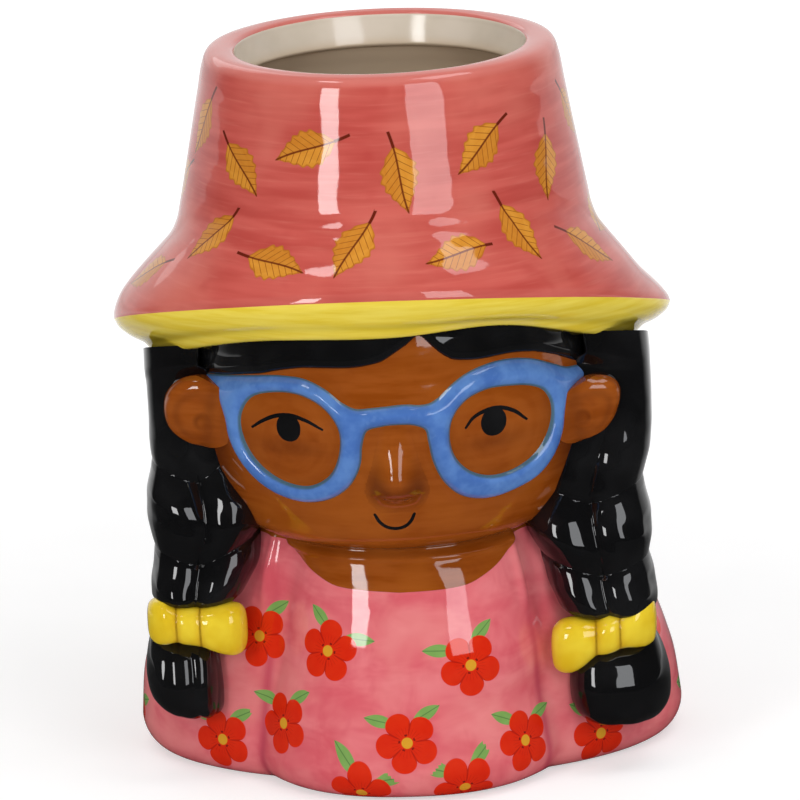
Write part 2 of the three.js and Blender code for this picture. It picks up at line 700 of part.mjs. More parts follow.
function tailGeometry(side, grow = 0) {
  const top = tieHeight(side) - BOW_BELOW_TIE;
  const rings = 8;
  const loops = Array.from({ length: rings + 1 }, (_, i) => {
    const t = i / rings;
    // A brush of hair: narrow under the bow, full below and blunt at the end.
    const end = Math.max(0, (t - 0.6) / 0.4);
    const belly = lerp(0.72, 1, smooth(t, 0, 0.5)) * Math.sqrt(1 - 0.85 * end ** 2.6);
    return Array.from({ length: 14 }, (_, j) => {
      const angle = (2 * Math.PI * j) / 14;
      return new THREE.Vector3(
        side.sign * (DRESS.halfWidth - lerp(side.bowInset, side.tailInset, smooth(t, 0, 0.5))) +
          (side.tailHalfWidth * belly + grow) * Math.cos(angle),
        TAIL_BEHIND_DRESS_FRONT - DRESS.front + (TAIL_HALF_DEPTH * belly + grow) * Math.sin(angle),
        top - TAIL_LENGTH * t,
      );
    });
  });
  return loft(loops, false);
}

// The body that hair, braids, bows and ears are pressed onto, grown by one joint and run on past the hat's seat
function bodyEnvelope() {
  const top = headRow(1, JOINT).map((point) => point.add(new THREE.Vector3(0, 0, WALL)));
  return solid(loft([...dressOutside(JOINT), ...neckOutside(JOINT), ...headOutside(JOINT), top], false));
}

// Assembly
const pot = new THREE.Group();
pot.name = "face_flower_pot";

function drifted(geometry, drift) {
  const position = geometry.getAttribute("position");
  for (let i = 0; i < position.count; i++) {
    const above = drift.findIndex(([height]) => height > position.getZ(i));
    const high = above < 0 ? drift.length - 1 : Math.max(above, 1);
    const [[low, from], [top, to]] = [drift[high - 1], drift[high]];
    const share = THREE.MathUtils.clamp((position.getZ(i) - low) / (top - low), 0, 1);
    position.setX(i, position.getX(i) + lerp(from, to, share));
  }
  return geometry;
}

function add(name, geometry, glaze, drift = BODY_DRIFT) {
  const mesh = new THREE.Mesh(drifted(geometry, drift), glaze);
  mesh.name = name;
  pot.add(mesh);
}

const body = bodyEnvelope();
const glassesCutter = wasm.Manifold.union(
  [-1, 1].flatMap((sign) => [solid(lensRim(sign, JOINT)), solid(templeGeometry(sign, JOINT))]),
);
add("dress_shell", dressGeometry(), PINK_DRESS);
add("neck_ring", neckGeometry(), SKIN);
add("head_shell", headGeometry(), SKIN);
add("hair_cap", geometryOf(carve(solid(hairGeometry()), body, glassesCutter)), BLACK);
add("brim_edge", brimEdgeGeometry(), YELLOW, HAT_DRIFT);
add("hat_brim", brimGeometry(), PINK_HAT, HAT_DRIFT);
add("hat_crown", crownGeometry(), PINK_HAT, HAT_DRIFT);

const hairCutter = solid(hairGeometry(JOINT));
// Braids end on the plane that the hat sits on.
const underHat = (piece) => {
  const slope = Math.hypot(1, BRIM_TILT);
  return piece.trimByPlane([0, -BRIM_TILT / slope, -1 / slope], -seatHeight / slope);
};

add("nose", noseGeometry(), SKIN);
add("glasses_bridge", geometryOf(carve(solid(bridgeGeometry()), solid(lensRim(-1, JOINT)), solid(lensRim(1, JOINT)))), BLUE);
add(
  "smile",
  faceCoil(
    bandEdges(arcPoints(0, eyeLine - SMILE_BELOW_EYE_LINE, SMILE_HALF_WIDTH, -SMILE_DEPTH, 9), () => SLIP_LINE_WIDTH),
    SLIP_RELIEF,
    false,
  ),
  BLACK,
);

for (const side of SIDES) {
  const { name, sign } = side;
  const part = (piece, geometry, glaze) => add(name + "_" + piece, geometry, glaze);
  const lash = arcPoints(sign * PUPIL_OFFSET, eyeLine + 0.6, LASH_HALF_WIDTH, LASH_RISE, 11);
  const pupil = ellipsePoints(sign * PUPIL_OFFSET, eyeLine + 0.7, PUPIL_HALF_WIDTH, PUPIL_HALF_HEIGHT, 16);
  part("lens_rim", lensRim(sign, 0), BLUE);
  part(
    "temple",
    geometryOf(carve(solid(templeGeometry(sign)), solid(lensRim(sign, JOINT)), ear(side, JOINT))),
    BLUE,
  );
  part("lash_line", faceCoil(bandEdges(lash, () => SLIP_LINE_WIDTH), SLIP_RELIEF, false), BLACK);
  part("pupil", faceMound(pupil, [sign * PUPIL_OFFSET, eyeLine + 0.7], SLIP_RELIEF), BLACK);
  part("ear", geometryOf(carve(ear(side), earHollow(side), body, hairCutter)), SKIN);

  const bow = knot(side, JOINT).add(innerLoop(side, JOINT)).add(outerLoop(side, JOINT));
  const braid = carve(underHat(solid(braidGeometry(side))), body, hairCutter, glassesCutter, ear(side, JOINT), bow);
  const tail = carve(solid(tailGeometry(side)), body, bow, solid(braidGeometry(side, JOINT)));
  part("braid", geometryOf(braid), BLACK);
  part("braid_tail", geometryOf(tail), BLACK);
  part("bow_knot", geometryOf(carve(knot(side, 0), body)), YELLOW);
  part("bow_inner_loop", geometryOf(carve(innerLoop(side, 0), body, knot(side, JOINT))), YELLOW);
  part("bow_outer_loop", geometryOf(carve(outerLoop(side, 0), body, knot(side, JOINT))), YELLOW);
}

export default pot;
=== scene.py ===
"""Looks of the face flower pot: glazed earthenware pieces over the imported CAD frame, lit as in the photograph."""
import math

import bpy
import numpy as np
from mathutils import Matrix, Vector


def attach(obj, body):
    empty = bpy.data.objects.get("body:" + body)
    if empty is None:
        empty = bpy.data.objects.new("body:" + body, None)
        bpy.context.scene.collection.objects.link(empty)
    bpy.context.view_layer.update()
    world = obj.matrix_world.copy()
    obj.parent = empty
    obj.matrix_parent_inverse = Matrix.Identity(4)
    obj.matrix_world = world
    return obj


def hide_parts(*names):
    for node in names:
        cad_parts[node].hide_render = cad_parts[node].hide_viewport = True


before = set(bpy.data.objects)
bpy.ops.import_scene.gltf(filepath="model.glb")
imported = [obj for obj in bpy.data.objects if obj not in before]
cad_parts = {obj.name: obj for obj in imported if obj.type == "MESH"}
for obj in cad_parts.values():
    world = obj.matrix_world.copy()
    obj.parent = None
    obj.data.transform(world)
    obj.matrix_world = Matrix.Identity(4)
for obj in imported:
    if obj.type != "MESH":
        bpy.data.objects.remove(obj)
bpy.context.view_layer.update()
rng = np.random.default_rng(11)
TAU = 2 * np.pi

# ---------------------------------------------------------------- sizes in mm, as in the CAD source
WALL = 4.5
JAW, SEAT, EYE = 70.0, 112.0, 103.0
# Half width, front and back of the head at the height of the eyes, and its height up from there
HEAD, HEAD_RISE = (58.5, 61.0, 60.0), 60.0
SHOULDER, CHIN_DROP, CHIN_ROUND = 67.0, 3.0, 3.2
BRIM_HALF, CROWN_HALF, CROWN_BASE = 75.8, 56.2, 149.0
# The mouth's radius, its lip's rounding and the lip's top
MOUTH, LIP_ROUND, LIP_TOP = 39.2, 1.9, 196.45
# The hat sits on a plane that rises towards the back. The crown leans less than the brim
SEAT_SLOPE, CROWN_SLOPE = 0.3, 0.2
# Depth of the hat's ovals as a share of their width
CROWN_RATIO, BRIM_RATIO = 0.96, 0.885
# Points round each ring of the body
COLS = 480


# ---------------------------------------------------------------- small maths
def lerp(a, b, t):
    return a + (b - a) * t


def smooth(x, low, high):
    t = np.clip((x - low) / (high - low), 0, 1)
    return t * t * (3 - 2 * t)


def bell(x, middle, width):
    return np.exp(-(((x - middle) / width) ** 2))


def smooth_min(a, b, k):
    """The smaller of two, blended where they differ by less than k."""
    h = np.clip(0.5 + 0.5 * (b - a) / k, 0, 1)
    return b + (a - b) * h - k * h * (1 - h)


def squared(c, power):
    """A circle's sines or cosines, drawn out towards a square by a power under 1."""
    return np.sign(c) * np.abs(c) ** power


def round_angles(count):
    """Even angles once round."""
    return np.arange(count) * TAU / count


def hermite(a, b, slope_a, slope_b, h, t):
    """A cubic from a to b over a step h."""
    return (
        a * (1 + 2 * t) * (1 - t) ** 2
        + slope_a * h * t * (1 - t) ** 2
        + b * t * t * (3 - 2 * t)
        + slope_b * h * t * t * (t - 1)
    )


def pchip(xs, ys, q):
    """Smooth curve through points, without overshoot."""
    x, y, q = (np.asarray(v, float) for v in (xs, ys, q))
    h = np.diff(x)
    d = np.diff(y) / h
    m = np.zeros_like(y)
    w1, w2 = 2 * h[1:] + h[:-1], h[1:] + 2 * h[:-1]
    same = d[:-1] * d[1:] > 0
    safe = np.where(same, d[:-1], 1), np.where(same, d[1:], 1)
    m[1:-1] = np.where(same, (w1 + w2) / (w1 / safe[0] + w2 / safe[1]), 0)
    m[0], m[-1] = d[0], d[-1]
    q = np.clip(q, x[0], x[-1])
    i = np.clip(np.searchsorted(x, q, side="right") - 1, 0, len(h) - 1)
    return hermite(y[i], y[i + 1], m[i], m[i + 1], h[i], (q - x[i]) / h[i])


def spline(points, spacing):
    """Points at even steps along a smooth curve through the given ones."""
    p = np.asarray(points, float)
    s = np.r_[0, np.cumsum(np.linalg.norm(np.diff(p, axis=0), axis=1))]
    h = np.diff(s)[:, None]
    d = np.diff(p, axis=0) / h
    m = np.zeros_like(p)
    m[1:-1] = (d[:-1] * h[1:] + d[1:] * h[:-1]) / (h[1:] + h[:-1])
    m[0], m[-1] = d[0], d[-1]
    fine = np.linspace(0, s[-1], max(int(s[-1] / spacing), 2) + 1)
    i = np.clip(np.searchsorted(s, fine, side="right") - 1, 0, len(h) - 1)
    return hermite(p[i], p[i + 1], m[i], m[i + 1], h[i], (fine - s[i])[:, None] / h[i])


# The pot is finished by hand: slow waves of a few tenths of a millimetre, the same on all pieces
WAVES = [
    (rng.normal(size=3) * np.array([1, 1, 0.8]) * TAU / length / 1.6, rng.uniform(0, TAU), size)
    for length, size in (
        (70, 0.15), (55, 0.11), (42, 0.08), (34, 0.06), (27, 0.035), (21, 0.02), (16, 0.012), (13, 0.008),
    )
]


def wobble(p):
    return sum(size * np.sin(p @ k + phase) for k, phase, size in WAVES)


def finish(p, drift):
    """Hand-made waves and the sideways drift of the body or of the hat."""
    p = np.array(p, float)
    r = np.hypot(p[..., 0], p[..., 1])
    p[..., :2] *= (1 + wobble(p) / np.maximum(r, 20))[..., None]
    p[..., 0] += pchip(*drift, p[..., 2])
    return p


# Heights, and how far the pot stands out of line at them
BODY = ([0, 33, 66, 200], [1, 0.5, 0, 0])
STILL = ([0, 200], [0, 0])
HAT = ([0, 121.5, 133, 149, 196], [0, 0, -2.1, -1, -0.4])


# ---------------------------------------------------------------- surfaces of the pot
THETA = round_angles(COLS)


def front_turn(theta):
    """Degrees from the front, positive towards +x."""
    return (np.degrees(theta) + 90 + 540) % 360 - 180


def oval(theta, half, front, back):
    depth = np.where(np.sin(theta) < 0, front, back)
    return 1 / np.hypot(np.cos(theta) / half, np.sin(theta) / depth)


HEM_ROUND = 9.0
# Half widths and depths of the dress and of its front panel, at heights above the foot
HEIGHTS = [9, 21, 30, 37, 46, 57, 67, 78]
DRESS = {
    "half": [74.9, 73.6, 71.3, 69.0, 65.8, 61.0, 52.0, 44.0],
    "front": [47, 46.3, 45.3, 44, 42.5, 41, 40, 39.5],
    "back": [60, 59.5, 58.4, 57, 55.8, 54, 51, 48],
    "panel_half": [49, 46.5, 44.1, 42, 40, 38, 35, 33],
    "panel_front": [61.3, 59.9, 58.4, 57.2, 54.75, 51.2, 48.0, 45.5],
}


def dress_radius(theta, z):
    below = np.clip(1 - z / HEM_ROUND, 0, 1)
    tuck = 8 * (1 - np.sqrt(np.clip(1 - below**2, 0, 1)))
    s = {k: pchip(HEIGHTS, v, np.maximum(z, HEM_ROUND)) - tuck for k, v in DRESS.items()}
    shell = oval(theta, s["half"], s["front"], s["back"])
    power = 2.35
    across, along = np.cos(theta) / s["panel_half"], np.sin(theta) / s["panel_front"]
    panel = (np.abs(across) ** power + np.abs(along) ** power) ** (-1 / power)
    # The chest was pressed a little askew, so its lights sit to the right of the middle
    askew = smooth(z, 22, 40) * (1 - smooth(z, 64, 76))
    across = panel * np.cos(theta)
    panel = panel + askew * (4.2 * smooth(across, -12, 34) * (1 - smooth(across, 32, 50)) - 0.6)
    panel = np.where(np.sin(theta) < 0.05, panel, 0)
    k = 1.4  # radius of the crease beside the front panel
    h = np.clip(0.5 + 0.5 * (panel - shell) / k, 0, 1)
    # A thin ridge stands on either side of the chest
    turn = front_turn(theta)
    ridge = (bell(turn, -47.5, 1.8) + bell(turn, 40.0, 1.8)) * smooth(z, 45, 53) * (1 - smooth(z, 68, 75))
    return lerp(shell, panel, h) + k * h * (1 - h) + ridge


def jawline(theta):
    return JAW - CHIN_DROP * smooth(-np.sin(theta), 0.4, 1)


def neckline(theta):
    """Where the dress ends: low in front, and just under the jaw elsewhere."""
    degrees = [0, 19, 28, 39, 47, 54, 66, 180]
    arc = pchip(degrees, [56.6, 57.6, 60.0, 64.6, 69.4, 70.0, SHOULDER, SHOULDER], np.abs(front_turn(theta)))
    return np.minimum(arc, jawline(theta) - 1.2)


def head_sizes(z):
    """Half width, front and back of the head at a height."""
    share = np.sqrt(1 - np.minimum(((z - EYE) / HEAD_RISE) ** 2, 0.9))
    return [size * share for size in HEAD]


def head_radius(theta, z):
    # The forehead is flatter than the rest, and meets the hat almost upright
    heights = [103, 106, 109, 112, 116, 120, 124, 128, 132, 144]
    brow = pchip(heights, [0, -0.02, -0.06, -0.14, -0.12, 0.19, 0.81, 1.7, 2.6, 0], z)
    return oval(theta, *head_sizes(z)) + brow * smooth(-np.sin(theta), 0.3, 0.75)


def seat(theta, offset, lift):
    """Height at which the head, grown by offset, meets the hat's plane, raised by lift."""
    z = np.full_like(theta, SEAT)
    for _ in range(8):
        z = SEAT + lift - SEAT_SLOPE * (head_radius(theta, z) + offset) * np.sin(theta)
    return z


def ring(theta, radius, z):
    theta, radius, z = np.broadcast_arrays(theta, radius, z)
    return np.stack([radius * np.cos(theta), radius * np.sin(theta), z], -1)


# ---------------------------------------------------------------- meshes
def grid_normals(g, wrap_cols=True):
    along = np.roll(g, -1, 1) - np.roll(g, 1, 1) if wrap_cols else np.gradient(g, axis=1)
    n = np.cross(along, np.gradient(g, axis=0))
    return n / np.maximum(np.linalg.norm(n, axis=-1, keepdims=True), 1e-12)


def quads(rows, cols, wrap_cols=True):
    i, j = np.meshgrid(np.arange(rows - 1), np.arange(cols if wrap_cols else cols - 1), indexing="ij")
    i, j = i.ravel(), j.ravel()
    on = (j + 1) % cols
    return np.stack([i * cols + j, i * cols + on, (i + 1) * cols + on, (i + 1) * cols + j], -1)


def kept_faces(faces, count):
    """The points that some faces use, and the faces with those points numbered afresh."""
    used = np.unique(faces)
    index = np.full(count, -1)
    index[used] = np.arange(len(used))
    return used, index[faces]


def add_object(name, data):
    obj = bpy.data.objects.new(name, data)
    bpy.context.scene.collection.objects.link(obj)
    return obj


class Piece:
    """Collects patches of faces for one object, then makes its mesh. Edge is a second tone, from 0 to 1: mostly
    painted shade, and painted light on the hat.
    """

    def __init__(self):
        self.v, self.n, self.f, self.a, self.count = [], [], [], [], 0

    def patch(self, points, faces, normals, edge=None):
        """Faces that index the points, with a normal for each point."""
        points = np.asarray(points, float).reshape(-1, 3)
        self.v.append(points)
        self.n.append(np.asarray(normals, float).reshape(-1, 3))
        self.a.append(np.zeros(len(points)) if edge is None else np.ravel(edge))
        self.f += (np.asarray(faces) + self.count).tolist()
        self.count += len(points)
        return self

    def grid(self, g, normals=None, edge=None):
        normals = grid_normals(g) if normals is None else normals
        return self.patch(g, quads(*g.shape[:2]), normals, edge)

    def cap(self, loop, up):
        """A flat end over a loop."""
        n = len(loop)
        faces = [[j, (j + 1) % n, n] if up else [(j + 1) % n, j, n] for j in range(n)]
        return self.patch(np.vstack([loop, loop.mean(0)]), faces, np.tile([0, 0, 1.0 if up else -1.0], (n + 1, 1)))

    def make(self, name, nodes, material, slot, prints=None):
        v, n = np.vstack(self.v), np.vstack(self.n)
        mesh = bpy.data.meshes.new(name)
        mesh.from_pydata((v * 0.001).tolist(), [], self.f)
        mesh.validate(clean_customdata=False)
        mesh.polygons.foreach_set("use_smooth", [True] * len(mesh.polygons))
        bad = np.linalg.norm(n, axis=1) < 0.5
        n[bad] = [0, 0, 1]
        mesh.normals_split_custom_set_from_vertices(n.tolist())
        attribute = mesh.attributes.new("Edge", "FLOAT", "POINT")
        attribute.data.foreach_set("value", np.concatenate(self.a).astype(np.float32))
        if prints is not None:
            lay_prints(mesh, v, prints)
        mesh.materials.append(material)
        obj = add_object(name, mesh)
        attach(obj, "root")
        if nodes:
            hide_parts(*nodes)


# Motifs reach this far in mm, and beyond them the print coordinates stay outside every drawing
PRINT_REACH, FAR_UV = 24.0, 60.0


def lay_prints(mesh, v, prints):
    """Each face gets the place of its corners in its nearest motif, in mm, as UVs."""
    loops = np.zeros(len(mesh.loops), int)
    mesh.loops.foreach_get("vertex_index", loops)
    start = np.zeros(len(mesh.polygons), int)
    total = np.zeros(len(mesh.polygons), int)
    mesh.polygons.foreach_get("loop_start", start)
    mesh.polygons.foreach_get("loop_total", total)
    middle = np.add.reduceat(v[loops], start, axis=0) / total[:, None]
    best = np.full(len(start), 1e9)
    uv = np.full((len(loops), 2), FAR_UV)
    owner = np.repeat(np.arange(len(start)), total)
    for centre, along, across, scale in prints:
        distance = np.linalg.norm(middle - centre, axis=1)
        near = (distance < PRINT_REACH) & (distance < best)
        best = np.where(near, distance, best)
        pick = near[owner]
        local = v[loops[pick]] - centre
        uv[pick] = np.stack([local @ along, local @ across], -1) / scale
    layer = mesh.uv_layers.new(name="Print")
    layer.data.foreach_set("uv", uv.astype(np.float32).ravel())


def motif(g, row, theta_deg, turn_deg, scale, mirror=1):
    """A motif's middle and axes on a grid surface."""
    col = int(round(theta_deg / 360 * COLS)) % COLS
    p = g[row, col]
    east = g[row, (col + 1) % COLS] - g[row, col - 1]
    north = g[min(row + 1, len(g) - 1), col] - g[max(row - 1, 0), col]
    east /= np.linalg.norm(east)
    north -= east * (north @ east)
    north /= np.linalg.norm(north)
    a = math.radians(turn_deg)
    along = east * math.cos(a) + north * math.sin(a)
    across = (north * math.cos(a) - east * math.sin(a)) * mirror
    return p, along, across, scale


# ---------------------------------------------------------------- materials
def linear(r, g, b):
    def one(c):
        c /= 255
        return c / 12.92 if c <= 0.04045 else ((c + 0.055) / 1.055) ** 2.4

    return one(r), one(g), one(b), 1.0


def feed(tree, socket, value):
    """Links a term or an output to a socket, or sets the socket's own value."""
    if isinstance(value, Term):
        tree.links.new(value.socket, socket)
    elif isinstance(value, bpy.types.NodeSocket):
        tree.links.new(value, socket)
    else:
        socket.default_value = value


def add(tree, kind, inputs=(), **settings):
    """A shader node with its settings and inputs."""
    node = tree.nodes.new("ShaderNode" + kind)
    for name, value in settings.items():
        setattr(node, name, value)
    for key, value in dict(inputs).items():
        feed(tree, node.inputs[key], value)
    return node


def xyz(tree, socket):
    """The three numbers of a vector."""
    return [Term(tree, out) for out in add(tree, "SeparateXYZ", {0: socket}).outputs]


def maths(name):
    """A method of Term for one operation."""
    return lambda term, *others: term.op(name, *others)


class Term:
    """A number in a node tree, so that shader maths reads as formulas."""

    def __init__(self, tree, socket):
        self.tree, self.socket = tree, socket

    def op(self, name, *others):
        return Term(self.tree, add(self.tree, "Math", enumerate((self, *others)), operation=name).outputs[0])

    __add__ = __radd__ = maths("ADD")
    __mul__ = __rmul__ = maths("MULTIPLY")
    __sub__, __truediv__, __pow__ = maths("SUBTRACT"), maths("DIVIDE"), maths("POWER")
    abs, root, sin = maths("ABSOLUTE"), maths("SQRT"), maths("SINE")
    max, min = maths("MAXIMUM"), maths("MINIMUM")

    def __rsub__(self, o):
        return self * -1.0 + o

    def below(self, low, high):
        """1 under low, 0 over high, soft in between."""
        ends = {"Value": self, "From Min": low, "From Max": high, "To Min": 1, "To Max": 0}
        node = add(self.tree, "MapRange", ends, interpolation_type="SMOOTHSTEP")
        return Term(self.tree, node.outputs["Result"])

    def above(self, low, high):
        return 1 - self.below(low, high)


class Glaze:
    """A glazed ceramic material: colour under a clear gloss."""

    def __init__(self, name, roughness=0.045):
        self.material = bpy.data.materials.new(name)
        self.material.use_nodes = True
        self.tree = self.material.node_tree
        self.shader = self.tree.nodes["Principled BSDF"]
        self.shader.inputs["Roughness"].default_value = roughness
        self.shader.inputs["IOR"].default_value = 1.5
        place = add(self.tree, "TexCoord").outputs["Object"]
        self.place = add(self.tree, "VectorMath", {0: place, "Scale": 1000}, operation="SCALE").outputs[0]
        self.x, self.y, self.z = xyz(self.tree, self.place)

    def edge(self):
        return Term(self.tree, add(self.tree, "Attribute", attribute_name="Edge").outputs["Fac"])

    def uv(self):
        return xyz(self.tree, add(self.tree, "UVMap", uv_map="Print").outputs[0])[:2]

    def vector(self, x, y, z):
        return add(self.tree, "CombineXYZ", enumerate((x, y, z))).outputs[0]

    def stretched(self, x, y, z, turn=(0, 0, 0)):
        turned = [math.radians(t) for t in turn]
        return add(self.tree, "Mapping", {"Vector": self.place, "Scale": (x, y, z), "Rotation": turned}).outputs[0]

    def noise(self, vector=None, scale=1.0, detail=2.0, roughness=0.5, warp=0.0):
        """Noise from 0 to 1. A scale of 1 gives spots about 1 unit of the vector across."""
        node = add(self.tree, "TexNoise", {
            "Vector": self.place if vector is None else vector,
            "Scale": scale, "Detail": detail, "Roughness": roughness, "Distortion": warp,
        })
        return Term(self.tree, node.outputs[0])

    def mix(self, share, *pair):
        """Mixes two colours, each a node's output or red, green and blue up to 255."""
        a, b = (linear(*v) if isinstance(v, tuple) else v for v in pair)
        return add(self.tree, "Mix", {0: share, 6: a, 7: b}, data_type="RGBA").outputs[2]

    def done(self, colour, height=None, strength=0.2):
        """Sets the colour, and a fine relief of the glaze unless another height is given."""
        height = gloss_relief(self) if height is None else height
        bump = add(self.tree, "Bump", {"Distance": 0.001, "Strength": strength, "Height": height})
        feed(self.tree, self.shader.inputs["Base Color"], colour)
        feed(self.tree, self.shader.inputs["Normal"], bump.outputs[0])
        return self.material


def gloss_relief(g):
    """The slight unevenness of a thick glaze."""
    return g.noise(scale=0.09, detail=1.0) * 0.8 + g.noise(scale=0.4, detail=1.0) * 0.06


def leaf_print(g, ground):
    """Ochre autumn leaves with dark veins and a thin stem, on a ground colour."""
    u, v = g.uv()
    w = v - (u * 0.22).sin() * 0.5
    t = ((u + 10.5) / 18.5).max(0.001).min(1.0)
    notches = (u * 2.3 + w.abs() * 0.6).sin()
    half = ((t**1.25) * math.pi).sin() * (notches * 0.4 + 5.0)
    out = w.abs() - half
    inside = out.below(-0.12, 0.12) * u.above(-10.4, -10.2) * u.below(7.8, 7.95)
    rim = out.above(-0.7, -0.2)
    tone = g.noise(g.vector(u * 0.22, w * 0.5, 3.0), 1.0, 2.0)
    midrib = w.abs().below(0.16, 0.36)
    veins = (u * 1.5 + w.abs() * 1.25).sin().abs().below(0.10, 0.24) * w.abs().below(3.4, 4.2)
    fill = g.mix(tone, (200, 122, 34), (226, 160, 62))
    fill = g.mix(w.below(-0.2, 0.2) * 0.30, fill, (176, 92, 26))
    fill = g.mix(veins * 0.75, fill, (132, 58, 24))
    fill = g.mix(rim * 0.55, fill, (160, 78, 28))
    fill = g.mix(midrib * 0.9, fill, (104, 34, 18))
    stem = (w.abs() - 0.42).below(-0.12, 0.12) * u.above(7.3, 7.5) * u.below(11.8, 12.0)
    colour = g.mix(inside, ground, fill)
    return g.mix(stem, colour, (104, 34, 20))


def blossom_print(g, ground):
    """Vermilion five-petal blossoms with two green leaves, on a ground colour."""
    u, v = g.uv()
    r = (u * u + v * v).root()
    turn = v.op("ARCTAN2", u)
    petal = (turn * 2.5).sin().abs()
    reach = (petal**0.55) * 2.9 + 4.7
    out = r - reach
    inside = out.below(-0.1, 0.12)
    tone = g.noise(g.vector(u * 0.25, v * 0.25, 1.0), 1.0, 2.0)
    fill = g.mix(tone, (216, 34, 12), (226, 54, 22))
    seam = petal.below(0.05, 0.22) * r.above(1.6, 2.6)
    fill = g.mix(seam * 0.5, fill, (150, 18, 14))
    ray = ((turn * 12.5).sin().abs().below(0.08, 0.3)) * r.above(1.5, 2.2) * r.below(3.2, 4.2)
    fill = g.mix(ray * 0.4, fill, (140, 20, 16))
    fill = g.mix(r.below(1.25, 1.45), fill, (222, 160, 44))
    dots = (r - 1.9).abs().below(0.16, 0.3) * (turn * 5.0).sin().above(0.55, 0.75)
    fill = g.mix(dots * 0.8, fill, (90, 22, 18))
    colour = ground
    for sign in (-1, 1):
        # The middle of a leaf, and the way it points
        a, b = math.radians(90 - sign * 42), math.radians(90 - sign * 68)
        cu, cv = 8.4 * math.cos(a), 8.4 * math.sin(a)
        lu = (u - cu) * math.cos(b) + (v - cv) * math.sin(b)
        lv = (v - cv) * math.cos(b) - (u - cu) * math.sin(b)
        leaf = lv.abs() - (1 - (lu / 3.9) ** 2.0) * 1.55
        mask = leaf.below(-0.08, 0.1) * lu.abs().below(3.85, 3.95)
        green = g.mix(tone, (112, 156, 76), (142, 182, 102))
        green = g.mix(lv.abs().below(0.05, 0.2) * 0.7, green, (74, 116, 62))
        colour = g.mix(mask, colour, green)
    return g.mix(inside, colour, fill)


def pink_hat():
    g = Glaze("hat_pink_glaze")
    streak = g.noise(g.stretched(0.03, 0.03, 0.30), 1.0, 2.0, 0.5)
    cloud = g.noise(scale=0.028, detail=3.0)
    ground = g.mix(streak.above(0.3, 0.7), (188, 76, 68), (206, 96, 86))
    ground = g.mix(cloud.above(0.42, 0.72) * 0.8, ground, (214, 116, 102))
    fine = g.noise(g.stretched(0.06, 0.06, 0.9), 1.0, 2.0, 0.6)
    ground = g.mix(fine.above(0.5, 0.8) * 0.22, ground, (222, 132, 116))
    patch = g.noise(scale=0.07, detail=2.0, roughness=0.7)
    ground = g.mix(patch.above(0.58, 0.78) * 0.35, ground, (178, 62, 58))
    # Edge on the hat: painted light, lighter pink round the rim and at the brim's tip
    ground = g.mix(g.edge(), ground, (212, 124, 114))
    return g.done(leaf_print(g, ground))


def pink_dress():
    g = Glaze("dress_pink_glaze")
    cloud = g.noise(scale=0.035, detail=3.0, roughness=0.6)
    a = g.noise(g.stretched(0.05, 0.05, 0.11, (0, 38, 0)), 1.0, 3.0, 0.6, 0.4)
    b = g.noise(g.stretched(0.10, 0.10, 0.05, (0, -50, 0)), 1.0, 3.0, 0.6, 0.4)
    ground = g.mix(a.above(0.3, 0.7), (222, 97, 107), (236, 129, 133))
    ground = g.mix(b.above(0.45, 0.75) * 0.6, ground, (214, 82, 95))
    ground = g.mix(cloud.above(0.45, 0.7) * 0.6, ground, (240, 147, 143))
    # Edge on the dress: painted shade down the grooves beside the front panel
    ground = g.mix(g.edge(), ground, (192, 66, 88))
    return g.done(blossom_print(g, ground))


def yellow_band():
    g = Glaze("yellow_band_glaze")
    streak = g.noise(g.stretched(0.04, 0.04, 0.5), 1.0, 3.0, 0.6)
    colour = g.mix(streak.above(0.3, 0.7), (238, 208, 62), (248, 224, 94))
    # Edge on the band: painted shade in its crease and at its foot under the brim
    colour = g.mix(g.edge(), colour, (176, 150, 36))
    return g.done(colour)


def yellow_bow():
    g = Glaze("yellow_bow_glaze")
    cloud = g.noise(scale=0.12, detail=2.0)
    colour = g.mix(cloud.above(0.3, 0.7), (228, 190, 34), (240, 210, 56))
    # Edge on the bows: painted shade in their creases
    colour = g.mix(g.edge(), colour, (204, 146, 22))
    return g.done(colour)


def black_hair():
    g = Glaze("black_glaze", 0.035)
    cloud = g.noise(scale=0.06, detail=2.0)
    colour = g.mix(cloud.above(0.4, 0.7), (13, 13, 14), (23, 23, 24))
    # Edge on the braids: a maroon tint, thin glaze over the clay and a painted reflection of the pink dress
    colour = g.mix(g.edge() * cloud.above(0.35, 0.6), colour, (52, 10, 18))
    return g.done(colour, strength=0.25)


# The middle of the right lens in the front view
LENS_X, LENS_Z = 27.0, 101.0


def brown_skin():
    g = Glaze("brown_glaze")
    # Strokes run round each lens, and level elsewhere
    x, z = g.x.abs() - LENS_X, g.z - LENS_Z
    ring_r = (x * x + z * z).root()
    turn = z.op("ARCTAN2", x)
    around = g.noise(g.vector(ring_r * 0.35, turn * 0.8, g.x * 0.01), 1.0, 2.0, 0.5)
    level = g.noise(g.stretched(0.05, 0.05, 0.35, (0, 4, 0)), 1.0, 3.0, 0.6)
    near = ring_r.below(16, 24) * 0.6
    tone = around * near + level * (1 - near)
    colour = g.mix(tone.above(0.3, 0.7), (140, 66, 12), (156, 80, 26))
    cloud = g.noise(scale=0.05, detail=2.0)
    colour = g.mix(cloud.above(0.45, 0.7) * 0.5, colour, (168, 90, 28))
    shade = g.noise(scale=0.09, detail=3.0, roughness=0.7)
    colour = g.mix(shade.above(0.55, 0.8) * 0.4, colour, (122, 52, 10))
    # Edge on the skin: painted shade under the chin, the eyes and the nose, at the cheeks' edges and in the ears
    colour = g.mix(g.edge(), colour, (84, 34, 10))
    return g.done(colour)


